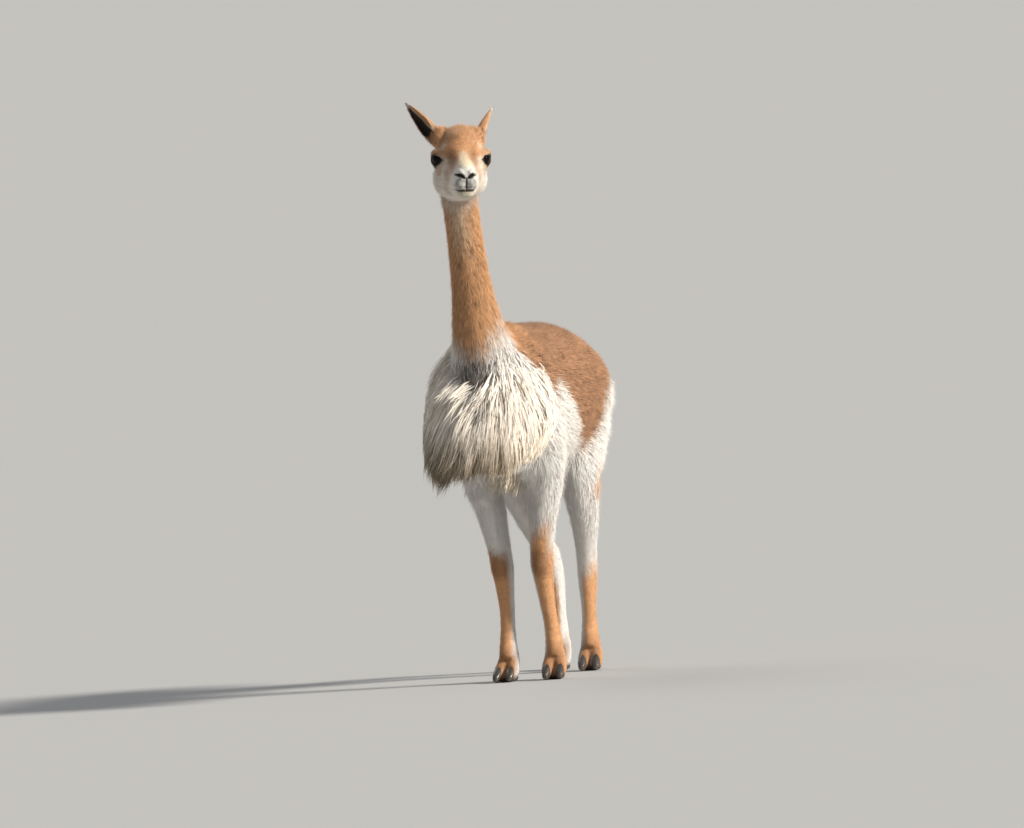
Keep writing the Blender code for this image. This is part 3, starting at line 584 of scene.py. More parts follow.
    def ear_colours(self, points: Array, normals: Array) -> Array:
        """The colours of the ears: fawn backs, pale rims and tips, and cups dark on their outer half as
        painted shade in the hollow.
        """
        own = self.anatomy.in_head(points)
        back = np.array(self.anatomy.head_matrix().inverted())[:3, :3]
        facing = normals @ back.T
        colours = np.tile(tint(Tint.CINNAMON), (len(points), 1))
        for side, (root, tip, opens) in zip((-1, 1), self.anatomy.ears()):
            mine = np.sign(own[:, 0]) == side
            axis = (tip - root).normalized()
            open_way = (opens - axis * opens.dot(axis)).normalized()
            inward = axis.cross(open_way)
            if inward.x * side > 0:
                inward.negate()
            from_root = own - np.array(root)
            along = from_root @ np.array(axis)
            share = along / (tip - root).length
            off = from_root - along[:, None] * np.array(axis)
            inside = ease(0.15, 0.55, np.einsum("ij,ij->i", unit(-off), facing))
            swing = unit(off) @ np.array(open_way)
            lateral = off @ np.array(inward) / (0.017 * np.clip(1.15 - share, 0.25, 1.0))
            inside = inside * ease(0.17, 0.27, share)
            fringe = 1 - ease(0.05, 0.18, np.abs(lateral - 0.02))
            # The cup is dark on its outer half, where it faces into the hollow: painted shade
            cup = layered(
                tint(Tint.SEPIA) * 0.5,
                (Tint.CINNAMON, 0.95, ease(-0.06, 0.14, lateral)),
                (Tint.CREAM, 0.85, fringe * 0.6),
            )
            made = layered(tint(Tint.CINNAMON) * 1.05, (Tint.CREAM, 0.95, ease(0.45, 0.95, share) * 0.45))
            rim = ease(0.10, 0.50, swing) * (1 - inside)
            made = layered(
                mixed(made, cup, inside),
                (Tint.WHITE, 0.95, rim * 0.85),
                (Tint.WHITE, 1.0, ease(0.84, 0.95, share) * 0.85),
            )
            colours[mine] = made[mine]
        return colours

    def colours(self, points: Array, normals: Array, regions: Array) -> Array:
        """The coat's colour at points of the skin.

        Args:
            points: Points of the model.
            normals: The way the skin faces there.
            regions: The number of the region that each point belongs to.

        Returns:
            Red, green and blue for each point.
        """
        own = self.anatomy.own(points)
        x, y, z = own.T
        wobble = waves(points, 0.045, 3) * 0.006
        moved = own + np.column_stack((wobble, wobble * 0.7, wobble))
        white = mixed(tint(Tint.WHITE), tint(Tint.CREAM), ease(0.1, 0.9, waves(points, 0.16, 5)) * 0.16)

        trunk_fawn = self.fawn_of_trunk(moved)
        behind = ease(0.0, -0.11, self.anatomy.above_neck_cut(points) + 0.012 * waves(points, 0.05, 10))
        saddle = mixed(tint(Tint.SADDLE), tint(Tint.SADDLE) * 0.84, ease(0.72, 0.80, z))
        saddle = saddle * (1 + 0.07 * waves(points, 0.06, 8) + 0.05 * waves(points, 0.020, 9))[:, None]
        neck_fawn = self.fawn_of_neck(moved)
        # The neck's right side, towards -X, is made darker: painted shade on the side away from the key light
        neck = mixed(tint(Tint.CINNAMON), tint(Tint.SADDLE), ease(0.0, 0.05, -x) * 0.5)
        front = ease(-0.02, -0.045, y - self.neck_middle(z))
        streak = front * (1 - ease(0.010, 0.030, np.abs(x - 0.010))) * ease(0.95, 1.11, z)
        neck = mixed(neck, tint(Tint.CREAM), streak * 0.75)
        on_neck = among(regions, Region.NECK, Region.CHEST)
        fawn = np.where(on_neck, np.maximum(neck_fawn, trunk_fawn), trunk_fawn)
        made = mixed(white, mixed(neck, saddle, behind), fawn)

        column = (1 - ease(0.022, 0.050, np.abs(x + 0.004))) * ease(0.825, 0.775, z) * ease(0.665, 0.700, z)
        patch = near(own * (0.9, 0.6, 1.35), (-0.004, -0.190, 0.993), 0.066)
        speckled = 0.5 + 0.5 * ease(-0.3, 0.5, waves(points, 0.010, 37))
        throat = np.clip(column * 0.30 + patch * 1.3, 0, 1) * ease(-0.22, -0.25, y) * (z < 0.83)
        made = mixed(made, tint(Tint.SEPIA) * 1.1, throat * 0.96 * speckled)

        on_tail = among(regions, Region.TAIL)
        legs = (z < 0.50) & ~on_tail
        leg_fawn = self.fawn_of_legs(moved, normals)
        fore = y < self.anatomy.between_legs
        knee = fore * (1 - ease(0.012, 0.050, np.abs(z - 0.272))) * ease(0.2, 0.9, -normals[:, 1])
        ankle = ease(0.10, 0.05, z) * ease(-0.2, 0.6, -normals[:, 1])
        sole = ease(0.020, 0.006, z)
        leg = layered(
            tint(Tint.WHITE),
            (Tint.ASH, 1.2, ease(0.30, 0.08, z) * 0.25),
            (Tint.CINNAMON, 1.05, leg_fawn),
            (Tint.UMBER, 1.2, knee * 0.60),
            (Tint.UMBER, 1.5, ankle * 0.65),
            (Tint.SEPIA, 1.0, sole),
        )
        made = np.where(legs[:, None], leg, made)

        under = ease(0.2, 0.9, -normals[:, 1])
        tail = mixed(tint(Tint.SADDLE), tint(Tint.WHITE), np.clip(under + ease(0.56, 0.515, z) * 0.6, 0, 1))
        made = np.where(on_tail[:, None], tail, made)

        above = ease(-0.015, 0.015, self.anatomy.above_head_cut(points) + 0.004 * waves(points, 0.03, 35))
        made = mixed(made, self.head_colours(points), above)
        on_ear = among(regions, Region.EARS)
        return np.where(on_ear[:, None], self.ear_colours(points, normals), made)


def set_sockets(node: Node, values: Values) -> None:
    """Sets some of a node's sockets by their names."""
    for name, value in values.items():
        node.inputs[name].default_value = value


@dataclass(frozen=True)
class Finish:
    """What every finish shares: a shader that shows the piece's own colours, and fine relief."""

    name: str

    def started(self, values: Values) -> tuple[Material, Node]:
        """The material with its shader's values set, and the node that reads the markings."""
        made = bpy.data.materials.new(self.name)
        made.use_nodes = True
        set_sockets(made.node_tree.nodes["Principled BSDF"], values)
        markings = made.node_tree.nodes.new("ShaderNodeAttribute")
        markings.attribute_name = "markings"
        return made, markings

    def noise(self, tree: NodeTree, scale: float, detail: float) -> Node:
        """Fine noise through the piece."""
        places = tree.nodes.new("ShaderNodeTexCoord")
        made = tree.nodes.new("ShaderNodeTexNoise")
        set_sockets(made, {"Scale": scale, "Detail": detail})
        tree.links.new(places.outputs["Object"], made.inputs["Vector"])
        return made

    def raised(self, tree: NodeTree, noise: Node, strength: float, height: float) -> None:
        """Makes the surface rise and fall with the noise."""
        relief = tree.nodes.new("ShaderNodeBump")
        set_sockets(relief, {"Strength": strength, "Distance": height})
        tree.links.new(noise.outputs["Fac"], relief.inputs["Height"])
        tree.links.new(relief.outputs["Normal"], tree.nodes["Principled BSDF"].inputs["Normal"])


@dataclass(frozen=True)
class HairFinish(Finish):
    """A finish that shows the markings, as a coat of hair or as the skin under it."""

    roughness: float = 0.62
    sheen: float = 0.12
    specular: float = 0.30
    variation: float = 0.14
    grain: float = 420.0
    bump: float = 0.0

    def material(self) -> Material:
        """The material, whose colour is the piece's own colour attribute with a fine uneven grain."""
        made, markings = self.started({
            "Roughness": self.roughness,
            "Specular IOR Level": self.specular,
            "Sheen Weight": self.sheen,
            "Sheen Roughness": 0.45,
            "Sheen Tint": (1.0, 0.93, 0.84, 1.0),
        })
        tree = made.node_tree
        noise = self.noise(tree, self.grain, 3.0)
        spread = tree.nodes.new("ShaderNodeMapRange")
        light, dark = 1 + self.variation, 1 - self.variation
        set_sockets(spread, {"From Min": 0.3, "From Max": 0.7, "To Min": dark, "To Max": light})
        tree.links.new(noise.outputs["Fac"], spread.inputs["Value"])
        shade = tree.nodes.new("ShaderNodeVectorMath")
        shade.operation = "SCALE"
        tree.links.new(markings.outputs["Color"], shade.inputs[0])
        tree.links.new(spread.outputs["Result"], shade.inputs["Scale"])
        tree.links.new(shade.outputs["Vector"], tree.nodes["Principled BSDF"].inputs["Base Color"])
        if self.bump:
            self.raised(tree, noise, self.bump, 0.0012)
        return made


@dataclass(frozen=True)
class GlossFinish(Finish):
    """A wet or polished finish that shows the piece's own colours, as on eyes and nails."""

    roughness: float
    coat: float
    bump: float = 0.0
    streaks: float = 90.0
    sharpness: float = 1.45  # the refractive index, which sets how much it mirrors

    def material(self) -> Material:
        """The material, with a clear coat over the colours and fine relief where asked."""
        made, markings = self.started({
            "Roughness": self.roughness,
            "IOR": self.sharpness,
            "Coat Weight": self.coat,
            "Coat Roughness": 0.03,
            "Coat IOR": self.sharpness,
        })
        tree = made.node_tree
        tree.links.new(markings.outputs["Color"], tree.nodes["Principled BSDF"].inputs["Base Color"])
        if self.bump:
            self.raised(tree, self.noise(tree, self.streaks, 4.0), self.bump, 0.0006)
        return made


def level_way(swing: float) -> Vector:
    """The level direction at an angle from straight ahead, towards the animal's left."""
    return Vector((math.sin(swing), -math.cos(swing), 0))


def off_axis(slope: float, turn: float) -> Vector:
    """The direction at an angle from the Z axis, turned round it."""
    return Vector((math.sin(slope) * math.cos(turn), math.sin(slope) * math.sin(turn), math.cos(slope)))


def linked(name: str, mesh: Mesh) -> Object:
    """A new object in the scene that holds a mesh."""
    made = bpy.data.objects.new(name, mesh)
    bpy.context.scene.collection.objects.link(made)
    return made


def from_bmesh(name: str, bm: BMesh) -> Object:
    """A new object that holds a bmesh, which is then freed."""
    mesh = bpy.data.meshes.new(name)
    bm.to_mesh(mesh)
    bm.free()
    return linked(name, mesh)


def applied(made: Object) -> Object:
    """The object with its modifiers applied to its mesh."""
    graph = bpy.context.evaluated_depsgraph_get()
    mesh = bpy.data.meshes.new_from_object(made.evaluated_get(graph))
    made.modifiers.clear()
    made.data = mesh
    return made


def rounded(made: Object, levels: int) -> Object:
    """The object with its facets rounded by levels of subdivision."""
    subdivision = made.modifiers.new("round", "SUBSURF")
    subdivision.levels = levels
    subdivision.render_levels = levels
    return applied(made)


def removed(made: Object) -> None:
    """Takes a helper object out of the scene."""
    bpy.data.objects.remove(made)


def coordinates(mesh: Mesh) -> Array:
    """The places of a mesh's vertices."""
    found = np.empty(len(mesh.vertices) * 3)
    mesh.vertices.foreach_get("co", found)
    return found.reshape(-1, 3)


def facings(mesh: Mesh) -> Array:
    """The directions that a mesh faces at its vertices."""
    found = np.empty(len(mesh.vertices) * 3)
    mesh.vertices.foreach_get("normal", found)
    return found.reshape(-1, 3)


def put_back(mesh: Mesh, points: Array) -> None:
    """Moves a mesh's vertices to new places."""
    mesh.vertices.foreach_set("co", points.astype(np.float32).ravel())
    mesh.update()


def paint(mesh: Mesh, colours: Array) -> None:
    """Gives a mesh its markings, a colour for each vertex."""
    layer = mesh.color_attributes.new("markings", "FLOAT_COLOR", "POINT")
    full = np.ones((len(colours), 4), np.float32)
    full[:, :3] = np.clip(colours, 0.001, 1.0)
    layer.data.foreach_set("color", full.ravel())


def dressed(made: Object, material: Material, slot: str, *nodes: str) -> Object:
    """Finishes a piece and fixes it to the model.

    Args:
        made: The piece, in place.
        material: Its material.
        slot: The record's material slot for the piece; not used.
        nodes: The CAD nodes that it stands for.

    Returns:
        The same piece.
    """
    made.data.materials.clear()
    made.data.materials.append(material)
    made.data.shade_smooth()
    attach(made, BODY)
    if nodes:
        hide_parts(*nodes)
    made.data.calc_loop_triangles()
    log.info("%s: %d triangles", made.name, len(made.data.loop_triangles))
    return made


def node_copy(node: str, swell: float, rounding: int) -> Object:
    """A closed copy of a CAD node.

    Args:
        node: The node's name.
        swell: How far its surface is moved out, so that neighbours overlap.
        rounding: Levels of subdivision that round its facets.

    Returns:
        A new object.
    """
    bm = bmesh.new()
    bm.from_mesh(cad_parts[node].data)
    bmesh.ops.remove_doubles(bm, verts=bm.verts, dist=1e-6)
    if rounding:
        creases = bm.edges.layers.float.new("crease_edge")
        for edge in bm.edges:
            if len(edge.link_faces) == 2 and edge.calc_face_angle(0) > math.radians(58):
                edge[creases] = 1.0
    bm.normal_update()
    ways = [vert.normal.copy() for vert in bm.verts]
    for vert, way in zip(bm.verts, ways):
        vert.co += way * swell
    made = from_bmesh("copy_of_" + node, bm)
    return rounded(made, rounding) if rounding else made


def fused(name: str, pieces: list[Object], grain: float, smoothing: int) -> Object:
    """One closed skin over pieces that overlap.

    Args:
        name: The new object's name.
        pieces: The overlapping pieces, which are removed.
        grain: The size of its faces.
        smoothing: How often its creases are eased.

    Returns:
        The largest closed surface.
    """
    bm = bmesh.new()
    for piece in pieces:
        bm.from_mesh(piece.data)
        removed(piece)
    made = from_bmesh(name, bm)
    remesh = made.modifiers.new("remesh", "REMESH")
    remesh.mode = "VOXEL"
    remesh.voxel_size = grain
    smooth = made.modifiers.new("smooth", "SMOOTH")
    smooth.factor = 0.5
    smooth.iterations = smoothing
    return largest_only(applied(made))


def groups(items: Iterable, beside: Callable) -> list[list]:
    """Sorts items into groups that hang together.

    Args:
        items: Vertices or edges.
        beside: Gives what an item touches.

    Returns:
        The groups.
    """
    unseen = dict.fromkeys(items)
    found = []
    while unseen:
        group, search = [], [unseen.popitem()[0]]
        while search:
            item = search.pop()
            group.append(item)
            for other in beside(item):
                if other in unseen:
                    del unseen[other]
                    search.append(other)
        found.append(group)
    return found


def largest_only(made: Object) -> Object:
    """The object with only the largest of its separate surfaces."""
    bm = bmesh.new()
    bm.from_mesh(made.data)
    islands = groups(bm.verts, lambda vert: [edge.other_vert(vert) for edge in vert.link_edges])
    islands.sort(key=len)
    for island in islands[:-1]:
        bmesh.ops.delete(bm, geom=island, context="VERTS")
    bm.to_mesh(made.data)
    bm.free()
    return made


def next_ring(bm: BMesh, edges: list, ring: list) -> tuple[list, list]:
    """Extrudes a ring on the spot.

    Args:
        bm: The mesh.
        edges: The ring's edges.
        ring: Its vertices in order.

    Returns:
        The new ring's edges, and its vertices in the same order.
    """
    grown = bmesh.ops.extrude_edge_only(bm, edges=edges)["geom"]
    fresh = {item for item in grown if isinstance(item, BMVert)}
    edges = [item for item in grown if isinstance(item, BMEdge) and set(item.verts) <= fresh]
    places = {tuple(vert.co): vert for vert in fresh}
    return edges, [places[tuple(vert.co)] for vert in ring]


@dataclass(frozen=True)
class Hoop:
    """One ring of a tube: its middle, half width and half depths towards and away from its first axis."""

    middle: Place
    half_width: float
    ahead: float
    behind: float


def hooped_form(name: str, hoops: tuple[Hoop, ...], first_axis: Vector, shift: Vector) -> Object:
    """A closed tube through hoops, extruded from one ring.

    Args:
        name: The new object's name.
        hoops: The hoops from end to end.
        first_axis: The direction that ahead is measured along.
        shift: Moves the form into the model's frame.

    Returns:
        A new object.
    """
    sides = 28
    bm = bmesh.new()
    ring = bmesh.ops.create_circle(bm, segments=sides, radius=1.0)["verts"]
    unit_ring = [vert.co.copy() for vert in ring]
    middles = [Vector(hoop.middle) + shift for hoop in hoops]
    edges = list(bm.edges)
    for number, hoop in enumerate(hoops):
        if number:
            edges, ring = next_ring(bm, edges, ring)
        after = middles[min(number + 1, len(hoops) - 1)]
        tangent = (after - middles[max(number - 1, 0)]).normalized()
        depthwise = (first_axis - tangent * first_axis.dot(tangent)).normalized()
        widthwise = depthwise.cross(tangent)
        for vert, place in zip(ring, unit_ring):
            depth = hoop.ahead if place.y > 0 else hoop.behind
            vert.co = middles[number] + widthwise * place.x * hoop.half_width + depthwise * place.y * depth
    bmesh.ops.holes_fill(bm, edges=[edge for edge in bm.edges if edge.is_boundary])
    bmesh.ops.triangulate(bm, faces=[face for face in bm.faces if len(face.verts) > 4])
    bmesh.ops.recalc_face_normals(bm, faces=bm.faces)
    return from_bmesh(name, bm)


@dataclass(frozen=True)
class Groove:
    """A line pressed into the skin, or raised from it where its depth is below zero."""

    line: tuple[Vector, ...]
    radius: float
    depth: float

    def press(self, points: Array, normals: Array, matrix: Matrix) -> Array:
        """Moves the points near the line.

        Args:
            points: The skin's vertices.
            normals: The way they face.
            matrix: From the line's frame to the model's.

        Returns:
            The moved vertices.
        """
        line = np.array([matrix @ place for place in self.line])
        low, high = line.min(0) - self.radius, line.max(0) + self.radius
        some = np.all((points > low) & (points < high), axis=1)
        off, along = to_line(points[some], line)
        fade = ease(0.0, 0.10, along) * ease(1.0, 0.90, along) * 0.75 + 0.25
        share = (1 - ease(0.0, self.radius, off)) * fade
        moved = points.copy()
        moved[some] -= normals[some] * (share * self.depth)[:, None]
        return moved


@dataclass(frozen=True)
class Skin:
    """One skin over all the flesh, which lies inside the coat's outline by the coat's depth."""

    anatomy: Anatomy
    head_grain: float = 0.0018
    body_grain: float = 0.0054
    foot_grain: float = 0.0022
    swell: float = 0.0004
    head_join: float = -0.030  # how far below the head's cut the fine skin meets the coarse
    foot_join: float = 0.110  # height at which the feet's fine skin meets the legs'

    def breast(self) -> list[Object]:
        """The breast without its long hair: the trunk's front, the foot of the neck and the shoulders."""
        shift = self.anatomy.shift()
        trunk = (
            Hoop((0, -0.332, 0.640), 0.050, 0.058, 0.062),
            Hoop((0, -0.300, 0.630), 0.094, 0.130, 0.112),
            Hoop((0, -0.235, 0.635), 0.124, 0.176, 0.150),
            Hoop((0, -0.140, 0.637), 0.136, 0.192, 0.165),
            Hoop((0, -0.040, 0.632), 0.138, 0.184, 0.160),
        )
        neck = (
            Hoop((0, -0.150, 0.640), 0.100, 0.130, 0.120),
            Hoop((0, -0.225, 0.735), 0.088, 0.112, 0.110),
            Hoop((0.001, -0.258, 0.780), 0.073, 0.090, 0.093),
            Hoop((0.002, -0.290, 0.825), 0.060, 0.072, 0.078),
            Hoop((0.004, -0.310, 0.880), 0.053, 0.062, 0.067),
        )
        made = [
            hooped_form("breast", trunk, UP, shift),
            hooped_form("neck_foot", neck, AHEAD, shift),
        ]
        for side in (-1, 1):
            shoulder = (
                Hoop((side * 0.078, -0.185, 0.680), 0.050, 0.080, 0.080),
                Hoop((side * 0.084, -0.122, 0.580), 0.054, 0.078, 0.080),
                Hoop((side * 0.077, -0.086, 0.490), 0.044, 0.055, 0.065),
                Hoop((side * 0.072, -0.082, 0.440), 0.040, 0.046, 0.054),
            )
            made.append(hooped_form("shoulder", shoulder, AHEAD, shift))
        return made

    def poll(self) -> Object:
        """The broad top of the head between the feet of the ears."""
        places = (-0.052, -0.043, -0.024, 0, 0.022, 0.038, 0.047)
        sizes = (0.012, 0.023, 0.030, 0.032, 0.030, 0.023, 0.012)
        hoops = tuple(Hoop((x, 0.034, 0.046), size, size, size) for x, size in zip(places, sizes))
        made = hooped_form("poll", hoops, UP, Vector())
        made.data.transform(self.anatomy.head_matrix())
        return made

    def ear_feet(self) -> list[Object]:
        """The solid feet of the ears, which close the bottoms of their cups."""
        foot = ((-0.20, 0.008), (-0.10, 0.0130), (0.03, 0.0136), (0.12, 0.0112), (0.20, 0.0060))
        bridge = ((-0.1, 0.006), (0.1, 0.0125), (0.4, 0.0145), (0.8, 0.0130), (1.1, 0.0060))
        made = []
        for root, tip, _ in self.anatomy.ears():
            inward = Vector((root.x * 0.42, root.y - 0.010, root.z + 0.002))
            for name, end, sizes in (("ear_foot", tip, foot), ("ear_bridge", inward, bridge)):
                hoops = tuple(Hoop(tuple(root.lerp(end, share)), size, size, size) for share, size in sizes)
                form = hooped_form(name, hoops, AHEAD, Vector())
                form.data.transform(self.anatomy.head_matrix())
                made.append(form)
        return made

    def flattened(self, made: Object) -> Object:
        """Lowers the middle of the crown, on which the hair stands longest."""
        points = coordinates(made.data)
        head = self.anatomy.in_head(points)
        drop = 0.0070 * ease(0.048, 0.078, head[:, 2]) * (1 - self.anatomy.near_ear(points))
        up = np.array(self.anatomy.head_matrix())[:3, 2]
        put_back(made.data, points - up * drop[:, None])
        return made

    def sunk(self, made: Object) -> Object:
        """Sinks a skin below the coat's outline."""
        mesh = made.data
        points = coordinates(mesh)
        points -= facings(mesh) * self.anatomy.coat_depth(points)[:, None]
        put_back(mesh, points)
        return made

    def clipped(self, made: Object, place: Vector, way: Vector) -> Object:
        """Keeps what lies on the side of a plane that its direction points to, open at the cut."""
        bm = bmesh.new()
        bm.from_mesh(made.data)
        geometry = bm.verts[:] + bm.edges[:] + bm.faces[:]
        bmesh.ops.bisect_plane(bm, geom=geometry, plane_co=place, plane_no=way, clear_inner=True, dist=1e-7)
        bm.to_mesh(made.data)
        bm.free()
        return made

    def muzzle_grooves(self, skin: Object) -> list[Groove]:
        """The lobes of the lip, the wings of the nose, the line of the mouth, the nostrils and the cleft."""
        matrix = self.anatomy.head_matrix()
        back = matrix.inverted()
        surface = BVHTree.FromObject(skin, bpy.context.evaluated_depsgraph_get())

        def on_front(x: float, z: float) -> Vector:
            """The place on the skin that a look from the front meets."""
            hit = surface.ray_cast(matrix @ Vector((x, -0.30, z)), (matrix.to_3x3() @ Vector((0, 1, 0))))[0]
            return back @ hit if hit else Vector((x, -0.13, z))

        def round_mouth(swing: float, rise: float) -> Vector:
            """The place on the skin that a look towards the jaw's middle meets."""
            inward = -level_way(swing)
            height = self.anatomy.mouth_line(swing, rise)
            start = Vector((math.sin(swing) * 0.09, self.anatomy.jaw_middle - math.cos(swing) * 0.09, height))
            hit = surface.ray_cast(matrix @ start, matrix.to_3x3() @ inward)[0]
            return back @ hit if hit else start + inward * 0.07

        made = []
        for side in (-1, 1):
            lobe_x, lobe_z = self.anatomy.lobe
            lobe = [on_front(side * lobe_x, lobe_z + rise) for rise in (0.0045, 0.0, -0.0050)]
            made.append(Groove(tuple(lobe), 0.0150, -0.0040))
            wing_line = ((0.0060, -0.0295), (0.0120, -0.0245), (0.0200, -0.0240))
            wing = [on_front(side * x, z) for x, z in wing_line]
            made.append(Groove(tuple(wing), 0.0070, -0.0024))
            swings = [side * math.radians(k) for k in range(-6, 119, 8)]
            made.append(Groove(tuple(round_mouth(swing, -0.0095) for swing in swings[1:6]), 0.0080, -0.0022))
            made.append(Groove(tuple(round_mouth(swing, 0.0) for swing in swings), 0.0028, 0.0040))
            made.append(Groove(tuple(round_mouth(swing, 0.0) for swing in swings[:7]), 0.0036, 0.0040))
            nostril = [on_front(side * x, z) for x, z in self.anatomy.nostril]
            made.append(Groove(tuple(nostril), 0.0058, 0.0105))
        cleft = [on_front(0, z) for z in (-0.0405, -0.0480, -0.0545, -0.0610, -0.0680)]
        made.append(Groove(tuple(cleft), 0.0034, 0.0056))
        return made

    def build(self) -> Object:
        """The whole skin as one closed mesh.

        Returns:
            The new object, without its finish.
        """
        copies = [node_copy(node, self.swell, 2) for node in ("head", "ear_left", "ear_right")]
        copies.append(node_copy("neck", self.swell, 1))
        copies += [self.poll(), *self.ear_feet()]
        head = self.flattened(self.sunk(fused("head_skin", copies, self.head_grain, 3)))
        log.info("head skin: %d faces", len(head.data.polygons))

        sides = ("left", "right")
        legs = [f"{end}leg_{side}" for end in ("fore", "hind") for side in sides]
        flesh = [node_copy(node, self.swell, 0) for node in ("torso", "neck", "tail", *legs)]
        body = self.sunk(fused("body_skin", flesh + self.breast(), self.body_grain, 7))
        log.info("body skin: %d faces", len(body.data.polygons))

        shift = self.anatomy.shift()
        neck_way = Vector(self.anatomy.head_cut_way).normalized()
        neck_place = Vector(self.anatomy.head_cut) + shift + neck_way * self.head_join
        gap = neck_way * 0.001
        self.clipped(head, neck_place + gap, neck_way)
        self.clipped(body, neck_place - gap, -neck_way)
        foot_place = Vector((0, 0, self.foot_join))
        self.clipped(body, foot_place + UP * 0.001, UP)
        pieces = [head, body]
        for end in ("fore", "hind"):
            for side in sides:
                parts = [node_copy(f"{end}{part}_{side}", self.swell, 1) for part in ("foot", "leg")]
                foot = self.sunk(fused("foot_skin", parts, self.foot_grain, 4))
                pieces.append(self.clipped(foot, foot_place - UP * 0.001, -UP))
        return self.carved(self.joined(pieces))

    def joined(self, pieces: list[Object]) -> Object:
        """Joins open skins into one, bridged from rim to rim."""
        bm = bmesh.new()
        for piece in pieces:
            bm.from_mesh(piece.data)
            removed(piece)
        rims = self.rims(bm)
        while len(rims) > 1:
            middles = [sum((edge.verts[0].co for edge in rim), Vector()) / len(rim) for rim in rims]
            middle = middles.pop()
            nearest = min(range(len(middles)), key=lambda number: (middles[number] - middle).length)
            bmesh.ops.bridge_loops(bm, edges=rims.pop() + rims.pop(nearest))
        bmesh.ops.recalc_face_normals(bm, faces=bm.faces)
        return from_bmesh("skin", bm)

    def rims(self, bm: BMesh) -> list[list[BMEdge]]:
        """The open rims of a mesh, each as the list of its edges."""
        open_edges = [edge for edge in bm.edges if edge.is_boundary]
        return groups(open_edges, lambda edge: [other for vert in edge.verts for other in vert.link_edges])

    def carved(self, skin: Object) -> Object:
        """The skin with its fine features, clear of the eyes."""
        mesh = skin.data
        points = coordinates(mesh)
        for groove in self.muzzle_grooves(skin):
            points = groove.press(points, facings(mesh), self.anatomy.head_matrix())
        for side in (-1, 1):
            middle = np.array(self.anatomy.eye_matrix(side).translation)
            off = points - middle
            far = np.linalg.norm(off, axis=1)
            least = self.anatomy.eye_radius + 0.0008
            inside = (far < least) & (far > 0.5 * least)
            points[inside] = middle + off[inside] * (least / far[inside])[:, None]
        put_back(mesh, points)
        return skin


class Hide:
    """The skin as arrays, on which the coat is rooted."""

    def __init__(self, pieces: list[Object], anatomy: Anatomy) -> None:
        """Reads the triangles of the skin and the lids.

        Args:
            pieces: The finished skin, and whatever else carries hair.
            anatomy: Where its regions are.
        """
        self.anatomy = anatomy
        points, normals, corners = [], [], []
        for piece in pieces:
            mesh = piece.data
            mesh.calc_loop_triangles()
            found = np.empty(len(mesh.loop_triangles) * 3, np.int64)
            mesh.loop_triangles.foreach_get("vertices", found)
            corners.append(found.reshape(-1, 3) + sum(len(some) for some in points))
            points.append(coordinates(mesh))
            normals.append(self.softened(facings(mesh), mesh))
        self.points, self.normals = np.concatenate(points), np.concatenate(normals)
        self.corners = np.concatenate(corners)
        one, two, three = (self.points[self.corners[:, k]] for k in range(3))
        self.areas = np.linalg.norm(np.cross(two - one, three - one), axis=1) / 2
        self.middles = (one + two + three) / 3
        self.regions = anatomy.regions(self.middles)
        self.surface = BVHTree.FromPolygons(self.points.tolist(), self.corners.tolist())

    def softened(self, normals: Array, mesh: Mesh) -> Array:
        """Normals averaged with their neighbours, so that the coat flows evenly."""
        ends = np.empty(len(mesh.edges) * 2, np.int64)
        mesh.edges.foreach_get("vertices", ends)
        ends = ends.reshape(-1, 2)
        for _ in range(3):
            total = normals.copy()
            np.add.at(total, ends[:, 0], normals[ends[:, 1]])
            np.add.at(total, ends[:, 1], normals[ends[:, 0]])
            normals = unit(total)
        return normals

    def scattered(self, weights: Array, count: int, draw: Draw) -> tuple[Array, Array, Array]:
        """Evenly scattered roots.

        Args:
            weights: How dense the coat is on each triangle.
            count: How many roots.
            draw: The random draw.

        Returns:
            The roots, the normals there, and the regions.
        """
        total = np.cumsum(self.areas * weights)
        chosen = np.searchsorted(total, (np.arange(count) + draw.random(count)) / count * total[-1])
        chosen = np.minimum(chosen, len(self.areas) - 1)
        one, two = draw.random(count), draw.random(count)
        flip = one + two > 1
        one[flip], two[flip] = 1 - one[flip], 1 - two[flip]
        shares = np.stack((1 - one - two, one, two), axis=1)
        roots = np.einsum("nk,nkj->nj", shares, self.points[self.corners[chosen]])
        normals = unit(np.einsum("nk,nkj->nj", shares, self.normals[self.corners[chosen]]))
        return roots, normals, self.regions[chosen]

    def nearest(self, points: Array) -> tuple[Array, Array]:
        """The nearest places on the skin and the way it faces there."""
        places, ways = np.empty_like(points), np.empty_like(points)
        for number, point in enumerate(points):
            place, way, _, _ = self.surface.find_nearest(Vector(point))
            places[number], ways[number] = place, way
        return places, ways


